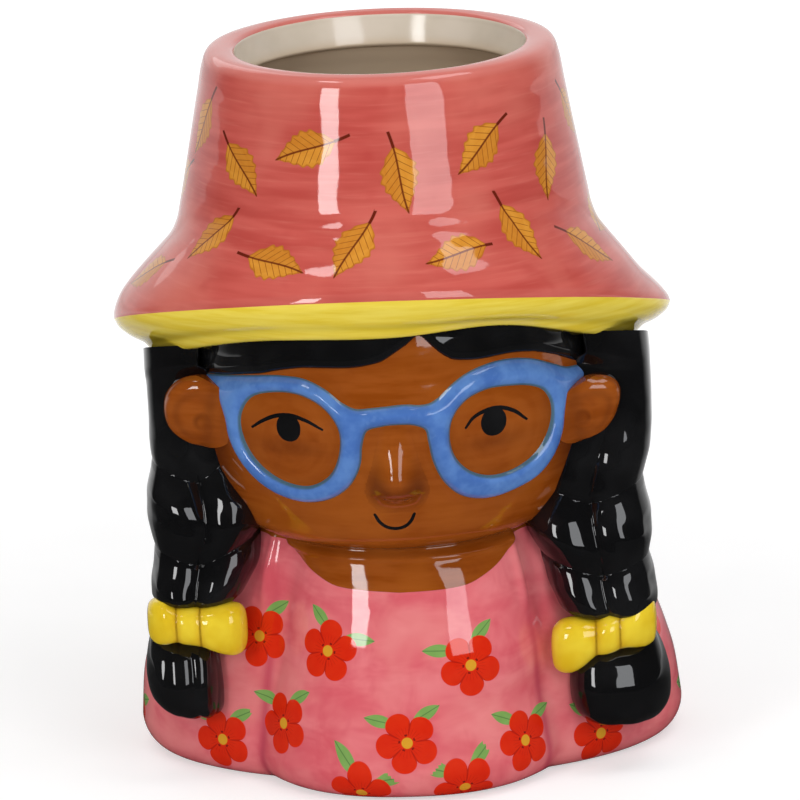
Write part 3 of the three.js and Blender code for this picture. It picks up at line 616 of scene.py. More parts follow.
def blue_glass():
    g = Glaze("blue_glaze")
    cloud = g.noise(scale=0.12, detail=3.0, roughness=0.6)
    fine = g.noise(scale=0.5, detail=2.0)
    colour = g.mix(cloud.above(0.35, 0.65), (74, 114, 184), (94, 136, 200))
    colour = g.mix(fine.above(0.55, 0.8) * 0.25, colour, (114, 152, 204))
    colour = g.mix(g.edge().above(0.25, 0.9) * 0.85, colour, (74, 96, 92))
    return g.done(colour)


def cream_inside():
    g = Glaze("cream_glaze", 0.12)
    cloud = g.noise(scale=0.06, detail=3.0)
    colour = g.mix(cloud.above(0.3, 0.7), (216, 202, 182), (226, 212, 194))
    # Edge inside the mouth: painted shade deeper down
    colour = g.mix(g.edge(), colour, (214, 190, 160))
    return g.done(colour)


def bare_foot():
    g = Glaze("bare_clay", 0.75)
    cloud = g.noise(scale=0.3, detail=4.0, roughness=0.7)
    colour = g.mix(cloud.above(0.3, 0.7), (190, 168, 138), (208, 190, 162))
    return g.done(colour, g.noise(scale=1.4, detail=4.0))


PINK_HAT, PINK_DRESS = pink_hat(), pink_dress()
BAND, BOW, BLACK = yellow_band(), yellow_bow(), black_hair()
SKIN, BLUE, CREAM, CLAY = brown_skin(), blue_glass(), cream_inside(), bare_foot()


# ---------------------------------------------------------------- dress and neck
def rows_of(function, shares):
    return np.stack([function(s) for s in shares])


def dress_row(share):
    z = neckline(THETA) * share
    return ring(THETA, dress_radius(THETA, z), z)


def neck_row(share):
    low = dress_radius(THETA, neckline(THETA))
    high = head_radius(THETA, jawline(THETA)) - CHIN_ROUND - 0.3
    z = lerp(neckline(THETA), jawline(THETA) + 1.2, share)
    # A bead of clay runs round under the chin
    up = (share * (jawline(THETA) + 1.2 - neckline(THETA))) - (jawline(THETA) - neckline(THETA))
    bead = 0.7 * bell(up, -1.9, 0.8) - 0.5 * bell(up, -0.2, 0.7)
    return ring(THETA, lerp(low, high + 0.9, share) + 0.35 * np.sin(np.pi * share) + bead, z)


hem = [HEM_ROUND * (1 - math.cos(a)) / SHOULDER for a in np.linspace(0.02, math.pi / 2, 12)]
dress_shares = np.r_[hem, np.linspace(hem[-1], 1, 62)[1:]]
split = len(dress_shares)
outer = finish(np.concatenate([rows_of(dress_row, dress_shares), rows_of(neck_row, np.linspace(0, 1, 34)[1:])]), BODY)
outer_n = grid_normals(outer)

# Painted shade: darker pink down the grooves beside the front panel, fading out upwards
groove_shade = np.zeros(outer.shape[:2])
degrees = (np.degrees(THETA) - 360 * (THETA > np.pi))[None, :]
for angle in (-133.5, -50.5):
    middle = angle + np.sign(angle + 90) * 1.5 * (1 - outer[..., 2] / 60.0)
    groove_shade += 0.75 * bell(degrees, middle, 1.6) * smooth(-outer[..., 2], -62, -30)

BLOSSOM_SCALE = 1.12
# Angle, share of the height and turn of each blossom
DRESS_PRINTS = [
    (-90.0, 0.30, 8), (-112, 0.70, -12), (-72, 0.64, 15), (-126, 0.30, 20), (-58, 0.22, -10), (-103, 0.05, -20),
    (-76, 0.06, 12), (-146, 0.16, 5), (-33, 0.14, -8), (-138, 0.60, 14), (-168, 0.50, 10), (-12, 0.55, -14),
    (-180, 0.12, -6), (4, 0.10, 9), (22, 0.42, -12), (40, 0.14, 6), (58, 0.55, 12), (72, 0.22, -16),
    (92, 0.64, 4), (104, 0.12, 14), (120, 0.46, -8), (138, 0.14, 11), (152, 0.60, -14), (160, 0.26, 7),
]
dress_grid = outer[:split]
dress_marks = [
    motif(dress_grid, int(np.argmin(np.abs(dress_shares - up))), degrees_at, turn, BLOSSOM_SCALE)
    for degrees_at, up, turn in DRESS_PRINTS
]

# Radius of the cove between the wall and the floor inside, and the floor's height
COVE, FLOOR = 6.0, 6.0


def dress_inner(share):
    z = neckline(THETA) * share
    return ring(THETA, dress_radius(THETA, z) - WALL, z)


def floor_row(a):
    z = FLOOR + COVE * (1 - math.sin(a))
    inset = WALL + COVE * (1 - math.cos(a))
    return ring(THETA, dress_radius(THETA, FLOOR + COVE) - inset, z)


inside = finish(np.concatenate([
    rows_of(dress_inner, np.linspace(1, (FLOOR + COVE + 2) / SHOULDER, 40)),
    rows_of(floor_row, np.linspace(0.1, math.pi / 2, 8)),
]), BODY)
dress = Piece().grid(dress_grid, outer_n[:split], groove_shade[:split])
dress.grid(np.stack([dress_grid[-1], inside[0]]), np.zeros((2, COLS, 3)) + [0, 0, 1])
dress.make("dress", ["dress_shell"], PINK_DRESS, "dress_pink", dress_marks)

# Inset from the hem and height of the unglazed foot ring's rows, from its inside out
FOOT = [(11, 2.0), (7.4, 2.0), (7.0, 1.6), (6.8, 0.4), (6.4, 0.0), (0.9, 0.0), (0.25, 0.02), (-0.05, 0.06)]
foot = finish(np.stack([ring(THETA, dress_radius(THETA, 0.0) - inset, z) for inset, z in FOOT]), BODY)
Piece().grid(foot).cap(foot[0], up=False).make("foot_ring", [], CLAY, None)
Piece().grid(inside).cap(inside[-1], up=True).make("dress_lining", [], CREAM, None)


def neck_inner(share):
    low = dress_radius(THETA, neckline(THETA)) - WALL
    high = head_radius(THETA, jawline(THETA)) - WALL - CHIN_ROUND
    return ring(THETA, lerp(low, high, share), lerp(neckline(THETA), jawline(THETA), share))


collar = outer[split - 1 :]
neck = Piece()
# Painted shade in the crease under the chin
neck.grid(collar, outer_n[split - 1 :], 0.25 * bell(collar[..., 2] - (jawline(THETA) + 0.4)[None, :], 0, 1.6))
neck.grid(finish(rows_of(neck_inner, [1, 0.5, 0]), BODY))
neck.make("neck", ["neck_ring"], SKIN, "skin")

# ---------------------------------------------------------------- head
CHIN_HIGH = 5.2
chin = [(CHIN_ROUND * (1 - math.sin(a)), CHIN_HIGH * (1 - math.cos(a))) for a in np.linspace(-0.35, math.pi / 2, 20)]


def chin_row(inset, up):
    z = jawline(THETA) + 0.3 + up
    return ring(THETA, head_radius(THETA, z) - inset, z)


def head_row(share):
    z = lerp(jawline(THETA) + 0.3 + CHIN_HIGH, seat(THETA, 0.0, 2.0), share)
    return ring(THETA, head_radius(THETA, z), z)


head_grid = np.concatenate([np.stack([chin_row(*c) for c in chin]), rows_of(head_row, np.linspace(0, 1, 64)[1:])])
head_grid = finish(head_grid, BODY)
# Painted shade where the chin curves under
painted_face_shade = 0.5 * bell(head_grid[..., 2] - (jawline(THETA) + 0.3)[None, :], 0, 2.2)
# More painted shade under the eyes and down the edges of the cheeks
UNDER_EYES = ((-26.6, 99.0), (27.6, 98.8))
head_x, head_y, head_z = np.moveaxis(head_grid, -1, 0)
under_eye_shade = sum(0.40 * np.exp(-(((head_x - x) / 8.5) ** 2) - ((head_z - z) / 2.8) ** 2) for x, z in UNDER_EYES)
cheek_edge_shade = 0.75 * smooth(np.abs(head_x), 38, 48) * smooth(head_z, 76, 88) * (1 - smooth(head_z, 108, 117))
painted_face_shade = np.maximum(painted_face_shade, (under_eye_shade + cheek_edge_shade) * (head_y < 0))


def head_inner(share):
    z = lerp(seat(THETA, 0.0, 2.0), jawline(THETA), share)
    return ring(THETA, head_radius(THETA, z) - WALL - CHIN_ROUND * share**6, z)


head = Piece().grid(head_grid, edge=painted_face_shade)
head.grid(finish(rows_of(head_inner, np.linspace(0, 1, 16)), BODY))
head.make("head", ["head_shell"], SKIN, "skin")


# ---------------------------------------------------------------- relief on the face
def face_point(x, z):
    """On the face, from its place in the front view."""
    half, front, _ = head_sizes(z)
    y = -front * np.sqrt(np.clip(1 - (x / half) ** 2, 0.02, 1))
    theta = np.arctan2(y, x)
    for _ in range(3):
        theta = np.arctan2(-np.sqrt(np.maximum(head_radius(theta, z) ** 2 - x**2, 1)), x)
    return ring(theta, head_radius(theta, z), z)


def face_normal(p):
    half, front, _ = head_sizes(p[..., 2])
    n = np.stack([p[..., 0] / half**2, p[..., 1] / front**2, (p[..., 2] - EYE) / HEAD_RISE**2], -1)
    return n / np.linalg.norm(n, axis=-1, keepdims=True)


def relief_patch(piece, x0, x1, z0, z1, step, height, keep, edge=None, flat=False):
    """A patch of the face, raised by height(x, z) where keep(x, z) is true. Flat ones shine as the skin does."""
    x, z = np.meshgrid(np.arange(x0, x1 + step, step), np.arange(z0, z1 + step, step))
    base = face_point(x, z)
    lifted = finish(base, BODY) + face_normal(base) * height(x, z)[..., None]
    n = grid_normals(finish(base, BODY) if flat else lifted, wrap_cols=False)
    f = quads(*x.shape, wrap_cols=False)
    used, f = kept_faces(f[keep(x, z).ravel()[f].all(1)], x.size)
    e = None if edge is None else edge(x, z).ravel()[used]
    piece.patch(lifted.reshape(-1, 3)[used], f, n.reshape(-1, 3)[used], e)


# Signed distances in the front view, negative inside
def oval_distance(x, z, cx, cz, a, b, power=2.2):
    u, v = x - cx, z - cz
    f = (np.abs(u / a) ** power + np.abs(v / b) ** power) ** (1 / power)
    return np.hypot(u, v) * (1 - 1 / np.maximum(f, 1e-3))


def polygon_distance(x, z, points):
    p = np.stack([x, z], -1)
    best = np.full(x.shape, 1e9)
    inside = np.zeros(x.shape, bool)
    for i in range(len(points)):
        a, b = np.array(points[i - 1], float), np.array(points[i], float)
        e, w = b - a, p - a
        t = np.clip((w @ e) / (e @ e), 0, 1)
        best = np.minimum(best, np.linalg.norm(w - t[..., None] * e, axis=-1))
        crosses = (a[1] > p[..., 1]) != (b[1] > p[..., 1])
        at = a[0] + (p[..., 1] - a[1]) / (e[1] if e[1] else 1e-9) * e[0]
        inside ^= crosses & (p[..., 0] < at)
    return np.where(inside, -best, best)


def stroke_distance(x, z, points, width):
    """Distance to a brush stroke along points. width(share) is its half width."""
    path = spline(points, 0.25)
    best = np.full(x.shape, 1e9)
    for i in range(len(path) - 1):
        a, e = path[i], path[i + 1] - path[i]
        t = np.clip(((x - a[0]) * e[0] + (z - a[1]) * e[1]) / (e @ e), 0, 1)
        d = np.hypot(x - a[0] - t * e[0], z - a[1] - t * e[1])
        best = np.minimum(best, d - width((i + t) / (len(path) - 1)))
    return best


def closed(points):
    """A smooth closed curve through points."""
    path = spline(points[-3:] + points + points[:3], 0.6)
    away = np.linalg.norm(path - np.array(points[0]), axis=1)
    middle = len(path) // 2
    return path[int(np.argmin(away[: len(path) // 3])) : middle + int(np.argmin(away[middle:]))]


HOLES = {
    -1: closed([
        (-30.6, 113.5), (-37.5, 110.8), (-40.4, 105.1), (-39.5, 98.3), (-35.7, 92.6), (-29.1, 88.6),
        (-22.3, 88.0), (-16.8, 91.4), (-13.8, 98.0), (-13.8, 104.9), (-17.3, 110.2), (-22.5, 113.1),
    ]),
    1: closed([
        (36.9, 111.7), (40.2, 109.8), (42.1, 106.5), (42.5, 102.3), (41.1, 97.0), (37.6, 92.3), (32.2, 89.4),
        (25.5, 88.8), (19.6, 91.6), (15.9, 96.8), (15.1, 101.8), (16.3, 107.1), (19.7, 111.0), (25.1, 113.1),
        (31.7, 112.9),
    ]),
}
OUTLINE = closed([
    (-54.6, 111.9), (-50.2, 113.3), (-44.4, 114.9), (-35.9, 116.8), (-29.1, 117.8), (-22.3, 117.5),
    (-17.1, 115.3), (-12.6, 111.9), (-9.3, 110.4), (-5.3, 110.6), (-0.6, 111.0), (3.9, 111.3), (8.0, 110.9),
    (10.5, 111.2), (12.5, 112.3), (16.6, 115.7), (19.9, 117.7), (24.0, 119.1), (29.3, 119.8), (37.2, 118.4),
    (43.7, 115.0), (47.1, 113.0), (49.8, 112.3), (53.6, 109.9), (53.3, 108.7), (50.3, 107.9), (47.5, 106.4),
    (46.3, 103.2), (45.3, 96.9), (42.9, 90.8), (38.7, 86.1), (32.0, 83.3), (24.6, 82.3), (18.0, 84.3),
    (13.6, 88.9), (10.8, 95.4), (9.7, 101.3), (9.0, 104.5), (6.6, 105.7), (2.4, 106.2), (-2.9, 105.8),
    (-6.6, 104.6), (-7.7, 101.6), (-8.7, 94.9), (-11.8, 88.9), (-17.1, 84.8), (-23.9, 83.2), (-30.7, 84.3),
    (-37.2, 88.0), (-41.7, 93.3), (-44.2, 99.1), (-44.9, 103.9), (-46.7, 108.2), (-50.3, 110.2), (-53.6, 111.2),
])


def glasses_distance(x, z):
    d = polygon_distance(x, z, OUTLINE)
    for side in (-1, 1):
        d = np.maximum(d, -polygon_distance(x, z, HOLES[side]))
    return d


# Grid step, half width and height of the rims, and how far their edges sink into the face
GLASSES_STEP, RIM_HALF, RIM_UP, RIM_SINK = 0.35, 2.6, 1.75, 0.9
gx, gz = np.meshgrid(np.arange(-168, 168) * GLASSES_STEP, np.arange(230, 346) * GLASSES_STEP)
glasses_d = glasses_distance(gx, gz)
# A rounded bar, steeper beside the lower half of the glass and flatter outside the upper rims
hole_d = np.minimum(*(np.abs(polygon_distance(gx, gz, HOLES[side])) for side in (-1, 1)))
lens_side = smooth(-hole_d - glasses_d, -1.4, 0.0) * smooth(-gz, -104, -98)
upper_side = smooth(gz, 108, 113) * (1 - smooth(-hole_d - glasses_d, -1.4, 0.0))
glasses_t = np.clip(-glasses_d / (RIM_HALF - 1.5 * lens_side + 1.5 * upper_side), 0, 1)
rounded = RIM_UP * (1 - (1 - glasses_t) ** 2) ** 0.75
glasses_up = np.where(glasses_d < 0, rounded, -RIM_SINK * smooth(glasses_d, 0, 1.2))
for _ in range(3):
    for axis in (0, 1):
        glasses_up = (np.roll(glasses_up, 1, axis) + 2 * glasses_up + np.roll(glasses_up, -1, axis)) / 4
glasses_base = face_point(gx, gz)
glasses_grid = finish(glasses_base, BODY) + face_normal(glasses_base) * glasses_up[..., None]
glasses_n = grid_normals(glasses_grid, wrap_cols=False)
glasses_rim = 0.9 * smooth(glasses_d, -0.75, 0.0)
glasses_faces = quads(*gx.shape, wrap_cols=False)
glasses_faces = glasses_faces[(glasses_d < 1.0).ravel()[glasses_faces].all(1)]
face_x = gx.ravel()[glasses_faces].mean(1)
face_z = gz.ravel()[glasses_faces].mean(1)
# Each small face belongs to one part: left or right rim, bridge, left or right temple
owner = np.where(face_x < 0.8, 0, 1)
owner[(np.abs(face_x - 0.8) < 7.6) & (face_z > 102)] = 2
owner[(face_x < -41.5) & (face_z > 105.5 - (face_x + 41.5) * 0.2)] = 3
owner[(face_x > 43.4) & (face_z > 104.5 + (face_x - 43.4) * 0.2)] = 4
for part, (name, node) in enumerate((
    ("lens_rim_left", "left_lens_rim"), ("lens_rim_right", "right_lens_rim"), ("bridge", "glasses_bridge"),
    ("temple_left", "left_temple"), ("temple_right", "right_temple"),
)):
    used, f = kept_faces(glasses_faces[owner == part], gx.size)
    piece = Piece().patch(
        glasses_grid.reshape(-1, 3)[used], f, glasses_n.reshape(-1, 3)[used], glasses_rim.ravel()[used]
    )
    piece.make(name, [node], BLUE, "blue")


# Eyes and mouth: brushed slip lines, their height and the width of their soft edge
SLIP_UP, SLIP_EDGE = 0.10, 0.45


def slip_height(distance):
    def height(x, z):
        d = distance(x, z)
        rounded = SLIP_UP * (1 - (1 - np.clip(-d / SLIP_EDGE, 0, 1)) ** 2) ** 0.7
        return np.where(d < 0, rounded, -0.30 * smooth(d, 0, 0.5))

    return height


LASHES = {
    -1: [(-37.2, 103.0), (-34.2, 105.3), (-30.4, 107.2), (-26.8, 107.7), (-22.8, 106.8), (-18.2, 104.6)],
    1: [(19.6, 103.6), (21.6, 106.0), (24.6, 107.4), (28.8, 107.6), (32.4, 106.0), (35.7, 102.9)],
}
PUPILS = {-1: (-27.3, 104.3, 3.2, 3.75), 1: (27.0, 104.1, 3.35, 3.8)}


def lash_distance(side):
    def thin(s):
        return 0.22 + 0.32 * np.sin(np.pi * np.clip(s * 0.92 + 0.04, 0, 1)) ** 0.8

    return lambda x, z: stroke_distance(x, z, LASHES[side], thin)


def pupil_distance(side):
    def distance(x, z):
        d = oval_distance(x, z, *PUPILS[side], 2.1)
        lid = z - np.interp(x, *np.array(LASHES[side]).T)
        return np.maximum(d, lid + 0.1)

    return distance


SMILE = [(-5.4, 80.1), (-4.2, 77.7), (-2.2, 76.0), (0.2, 75.5), (2.6, 76.2), (4.2, 77.9), (5.1, 80.0)]


def smile_distance(x, z):
    return stroke_distance(x, z, SMILE, lambda s: 0.36 + 0.14 * np.sin(np.pi * s) ** 0.6)


def slip(name, node, distance, step, x0, x1, z0, z1):
    piece = Piece()
    relief_patch(
        piece, x0, x1, z0, z1, step, slip_height(distance), lambda x, z: distance(x, z) < SLIP_EDGE, flat=True
    )
    piece.make(name, [node], BLACK, "black")


for side, word in ((-1, "left"), (1, "right")):
    middle = side * 27.2
    slip("lash_" + word, word + "_lash_line", lash_distance(side), 0.16, middle - 11, middle + 11, 101, 110)
    slip("pupil_" + word, word + "_pupil", pupil_distance(side), 0.2, middle - 5, middle + 5, 98.5, 109.5)
slip("smile", "smile", smile_distance, 0.16, -8, 8, 73, 82)

NOSE_X = 0.9


def nose_share(x, z):
    """1 on the ridge of the nose and 0 at its foot."""
    half = np.interp(z, [80.5, 83.5, 87, 90, 94, 99, 104, 108], [5.4, 8.0, 9.0, 8.4, 7.0, 5.6, 4.6, 4.2])
    return np.clip(1 - (np.abs(x - NOSE_X) / half) ** 2, 0, 1) ** 1.7


def nose_height(x, z):
    heights = [80.5, 83, 85.5, 87.6, 89.6, 91.4, 93.6, 96.6, 100, 102.4, 105.5]
    ridge = pchip(heights, [0, 0.7, 2.6, 4.5, 5.5, 5.2, 4.2, 2.75, 1.3, 0.55, 0], z)
    return ridge * nose_share(x, z) + 0.03


# Painted shade under the nose and down its sides
def nose_shade(x, z):
    u = x - NOSE_X
    low = bell(z, 87.0, 3.6) * bell(u, 0, 6.5)
    sides = bell(z, 90, 5) * (bell(u, -5.0, 2.8) + bell(u, 5.0, 2.8))
    return 0.6 * np.clip(low + 0.8 * sides, 0, 1)


def nose_keep(x, z):
    return (nose_share(x, z) > 0.002) & (nose_height(x, z) > 0.035)


piece = Piece()
relief_patch(piece, -9, 10.8, 80.6, 107.4, 0.4, nose_height, nose_keep, nose_shade)
piece.make("nose", ["nose"], SKIN, "skin")

# ---------------------------------------------------------------- hair
FRONT_HAIR = [
    (-56.5, 111.0), (-54.0, 112.1), (-50.1, 113.5), (-44.3, 115.1), (-38.7, 116.6), (-34.0, 117.7),
    (-30.4, 118.9), (-26.3, 119.9), (-22.2, 120.6), (-16.9, 120.9), (-11.5, 121.1), (-7.6, 121.5), (-2.2, 122.7),
    (1.8, 125.0), (4.5, 126.7), (7.8, 129.0), (11.0, 126.3), (13.6, 123.9), (16.8, 122.0), (20.1, 121.4),
    (24.0, 121.1), (30.6, 121.2), (37.2, 120.2), (43.8, 117.5), (47.8, 114.9), (51.8, 111.8), (54.2, 109.4),
    (56.5, 107.5),
]
# Height of the hair at the sides of the head
HAIR_UP = 1.86


def hairline(theta):
    """Where the hair begins: over the brow in front, and under the jaw elsewhere."""
    turn = front_turn(theta)
    xs, zs = np.array(FRONT_HAIR).T
    half, front, _ = head_sizes(zs)
    ys = front * np.sqrt(1 - (xs / half) ** 2)
    front_line = pchip(np.degrees(np.arctan2(xs, ys)), zs, turn)
    return lerp(front_line, JAW + 1, smooth(np.abs(turn), 68, 84))


def hairline_at(theta):
    """The hairline at any angles."""
    return np.interp(np.mod(theta, TAU), np.r_[THETA, TAU], np.r_[hairline(THETA), hairline(THETA[:1])])


def hair_height(theta, z):
    """Height of the hair over the head, and the distance below the hairline."""
    line = hairline(theta)
    slope = np.gradient(line, axis=-1) / (60 * TAU / COLS)
    d = (line - z) / np.sqrt(1 + slope**2)
    t = np.clip(-d / 2.4, 0, 1)
    up = 1.45 * (1 - (1 - t) ** 2) ** 0.7 + 0.35 * smooth(-d, 2, 12)
    turn = np.abs(front_turn(theta))
    back = smooth(turn, 100, 125)
    x = head_radius(theta, z) * np.cos(theta)
    # Combed strands fall from the centre parting to the braids
    strand = np.sin((z + 0.55 * np.abs(x) + 1.5 * np.sin(x * 0.12)) * TAU / 6.4)
    comb = back * (-0.17 * (1 - strand) - bell(x, 0, 1.3) * smooth(turn, 140, 160))
    ripple = (1 - back) * 0.18 * np.sin(z * 0.9 + 3 * np.sin(theta * 7)) * smooth(turn, 30, 60)
    return np.where(d < 0, up + comb * smooth(-d, 1, 6) + ripple, -0.9 * smooth(d, 0, 1.2)), d


def hair_row(share):
    line = hairline(THETA)
    z = lerp(line - 1.3, seat(THETA, 1.8, 4.5), share)
    up, _ = hair_height(THETA, z)
    return ring(THETA, head_radius(THETA, z) + up, z)


hair_shares = np.r_[np.linspace(0, 0.25, 26), np.linspace(0.25, 1, 60)[1:]]
Piece().grid(finish(rows_of(hair_row, hair_shares), BODY)).make("hair", ["hair_cap"], BLACK, "black")

# ---------------------------------------------------------------- hat
# Half width and height at the side of the pot, from the yellow edge's foot out to the brim's tip
PROFILE_LOW = [
    (62.4, 111.7), (64.6, 111.9), (66.3, 113.0), (68.4, 114.5), (72.9, 117.4), (75.0, 119.4), (75.8, 121.3),
]
# The same from the tip, over the brim and the crown, to the rim
PROFILE_UP = [
    (75.8, 121.3), (75.5, 122.7), (74.6, 124.6), (72.8, 127.5), (68.7, 133.0), (63.9, 138.8), (60.6, 142.6),
    (57.9, 146.0), (56.3, 149.8), (55.3, 154.5), (54.2, 160), (53.15, 165.5), (51.75, 173), (49.65, 185),
    (48.25, 192.6), (47.6, 194.6), (46.4, 196.0), (44.6, 196.5),
]
# Height over which the crown comes level
LEVELLING = 45.3
# Under the lip the mouth tapers from this height, this far down and in
THROAT_TOP, THROAT_DROP, THROAT_TAPER = 194.5, 6.6, 1.9
# How far the front of the hat stands out over the ovals
FLARE_HEIGHTS = [121, 127.5, 133, 138.8, 142.6, 146, 149.8, 154.5, 197]
FLARE = [0, -0.4, -0.3, 0.25, 0.85, 1.2, 0.35, 0, 0]


def hat_oval(half, ratio):
    return oval(THETA, half, half * ratio, half * ratio)


def sloped_ring(r, z, slope):
    """A ring on a plane that rises towards the back."""
    return ring(THETA, r, z - slope * r * np.sin(THETA))


def hat_ring(half, z, under=False):
    share = np.clip((half - CROWN_HALF) / (BRIM_HALF - CROWN_HALF), 0, 1)
    slope, ratio = lerp(CROWN_SLOPE, SEAT_SLOPE, share), lerp(CROWN_RATIO, BRIM_RATIO, share)
    if under:
        return sloped_ring(hat_oval(half, ratio), z, SEAT_SLOPE)
    if z >= CROWN_BASE:
        slope, ratio = CROWN_SLOPE * np.clip(1 - (z - CROWN_BASE) / LEVELLING, 0, 1), CROWN_RATIO
    # In front the flare of the brim is straight
    flare = pchip(FLARE_HEIGHTS, FLARE, np.float64(z)) * smooth(-np.sin(THETA), 0.2, 0.7)
    return sloped_ring(hat_oval(half, ratio) + flare, z, slope)


def crown_wall(share):
    half = lerp(47.8, CROWN_HALF, share) - WALL
    return sloped_ring(hat_oval(half, CROWN_RATIO), lerp(181.0, CROWN_BASE, share), CROWN_SLOPE * share)


def inner_brim(share):
    r = hat_oval(lerp(51.7, 60.0, share**1.2), lerp(CROWN_RATIO, BRIM_RATIO, share))
    return sloped_ring(r, lerp(148.0, 127.5, share), lerp(CROWN_SLOPE, SEAT_SLOPE, share))


low, up = spline(PROFILE_LOW, 0.45), spline(PROFILE_UP, 0.8)
rows = [hat_ring(*p, under=True) for p in low] + [hat_ring(*p) for p in up[1:]]
tip = len(low) - 1
crown_row = tip + int(np.argmin(np.abs(up[:, 1] - CROWN_BASE)))
# The lip swells a little, rolls in and tapers down to a step, and the wall and the brim go on from there
rim, lip = rows[-1], ring(THETA, MOUTH + 2.0, LIP_TOP)
rows += [lerp(rim, lip, s) + [0, 0, 0.12 * math.sin(math.pi * s)] for s in (0.25, 0.5, 0.75, 1.0)]
for a in np.linspace(0.25, math.pi / 2, 6):
    rows.append(ring(THETA, MOUTH + LIP_ROUND * (1 - math.sin(a)), LIP_TOP - LIP_ROUND * (1 - math.cos(a))))
lip_start = len(rows) - 3
rows += [ring(THETA, MOUTH - THROAT_TAPER * s, THROAT_TOP - THROAT_DROP * s) for s in np.linspace(0.1, 1, 9)]
foot_in, foot_z = MOUTH - THROAT_TAPER, THROAT_TOP - THROAT_DROP
for a in np.linspace(0.3, math.pi / 2, 6):
    rows.append(ring(THETA, foot_in + 1.8 * (1 - math.cos(a)), foot_z - 1.3 * math.sin(a)))
rows += [lerp(rows[-1], crown_wall(0.0), s) for s in (0.35, 0.7, 1.0)]
rows += [crown_wall(s) for s in np.linspace(0.06, 1, 16)]
rows += [inner_brim(s) for s in np.linspace(0.06, 1, 12)]
hat = np.stack(rows)

# The lower edge of the yellow band rises over the right brow and wanders a little
turn = front_turn(THETA)
lift = 2.6 * bell(turn, 31, 20) + 0.3 * np.sin(THETA * 3 + 1) + 0.4 * np.sin(THETA * 5)
fade = 1 - smooth(np.arange(tip), 0, tip * 0.8)[:, None]
hat[:tip, :, 2] += lift * fade
hat[:tip, :, :2] *= (1 + 0.014 * bell(turn, 0, 60) * fade)[..., None]
# A soft crease runs along the band
along = (np.arange(tip + 1) / tip)[:, None]
dip = bell(along, 0.42, 0.10) * (0.55 + 0.45 * np.sin(THETA * 2 + 0.8))
hat[: tip + 1, :, :2] *= (1 - 0.010 * dip)[..., None]
# Painted shade in that crease and at the band's foot under the brim
band_crease_shade = 0.75 * bell(along, 0.40, 0.09) * (0.7 + 0.3 * np.sin(THETA * 4)) + 0.35 * bell(along, 0.05, 0.12)
hat = finish(hat, HAT)
hat_n = grid_normals(hat)

# Under the yellow edge, in to the head
at = seat(THETA, 1.2, 0.3)
meeting = finish(ring(THETA, head_radius(THETA, at) + 1.2, at), HAT)
meeting[:, 2] += lift
band = Piece()
band.grid(np.stack([lerp(meeting, hat[0], s) for s in (0, 0.4, 0.8, 1)]))
band.grid(hat[: tip + 1], hat_n[: tip + 1], band_crease_shade)
band.make("brim_band", ["brim_edge"], BAND, "yellow")

# Angle, share of the way from the brim's tip to the rim, and turn of each leaf
HAT_PRINTS = [
    (-97, 0.30, 62), (-70, 0.24, 12), (-52, 0.36, 118), (-118, 0.22, 160), (-140, 0.38, 48), (-160, 0.20, 20),
    (-84, 0.62, 104), (-58, 0.72, 40), (-112, 0.74, 20), (-136, 0.66, 128), (-34, 0.62, 84), (-158, 0.80, 60),
    (-30, 0.26, 150), (-8, 0.40, 30), (14, 0.22, 110), (36, 0.36, 170), (58, 0.24, 60), (80, 0.38, 12),
    (102, 0.22, 130), (124, 0.36, 75), (146, 0.24, 25), (168, 0.38, 140), (-10, 0.78, 130), (12, 0.62, 60),
    (34, 0.80, 20), (56, 0.64, 110), (78, 0.78, 160), (100, 0.62, 50), (122, 0.80, 100), (144, 0.66, 10),
    (166, 0.68, 70), (-172, 0.58, 30),
]
hat_marks = [
    motif(hat, int(tip + share * (len(up) - 5)), degrees_at, turn_at, 1.0, 1 if i % 2 else -1)
    for i, (degrees_at, share, turn_at) in enumerate(HAT_PRINTS)
]
# Painted light: the pink is lighter round the rim and at the brim's tip
rim_painted_light = 0.7 * smooth(hat[..., 2], 193.2, 195.6)
rim_painted_light[lip_start + 2 :] = 0
rim_painted_light[tip : tip + 4] = 0.15

for name, rows in (("brim", slice(tip, crown_row + 1)), ("crown", slice(crown_row, lip_start + 1))):
    piece = Piece().grid(hat[rows], hat_n[rows], rim_painted_light[rows])
    piece.make(name, ["hat_" + name], PINK_HAT, "hat_pink", hat_marks)
# Painted shade deeper inside the mouth
shade = smooth(190.5 - hat[lip_start:, :, 2], 0, 4) * 0.85
Piece().grid(hat[lip_start:], hat_n[lip_start:], shade).make("mouth_lining", [], CREAM, None)


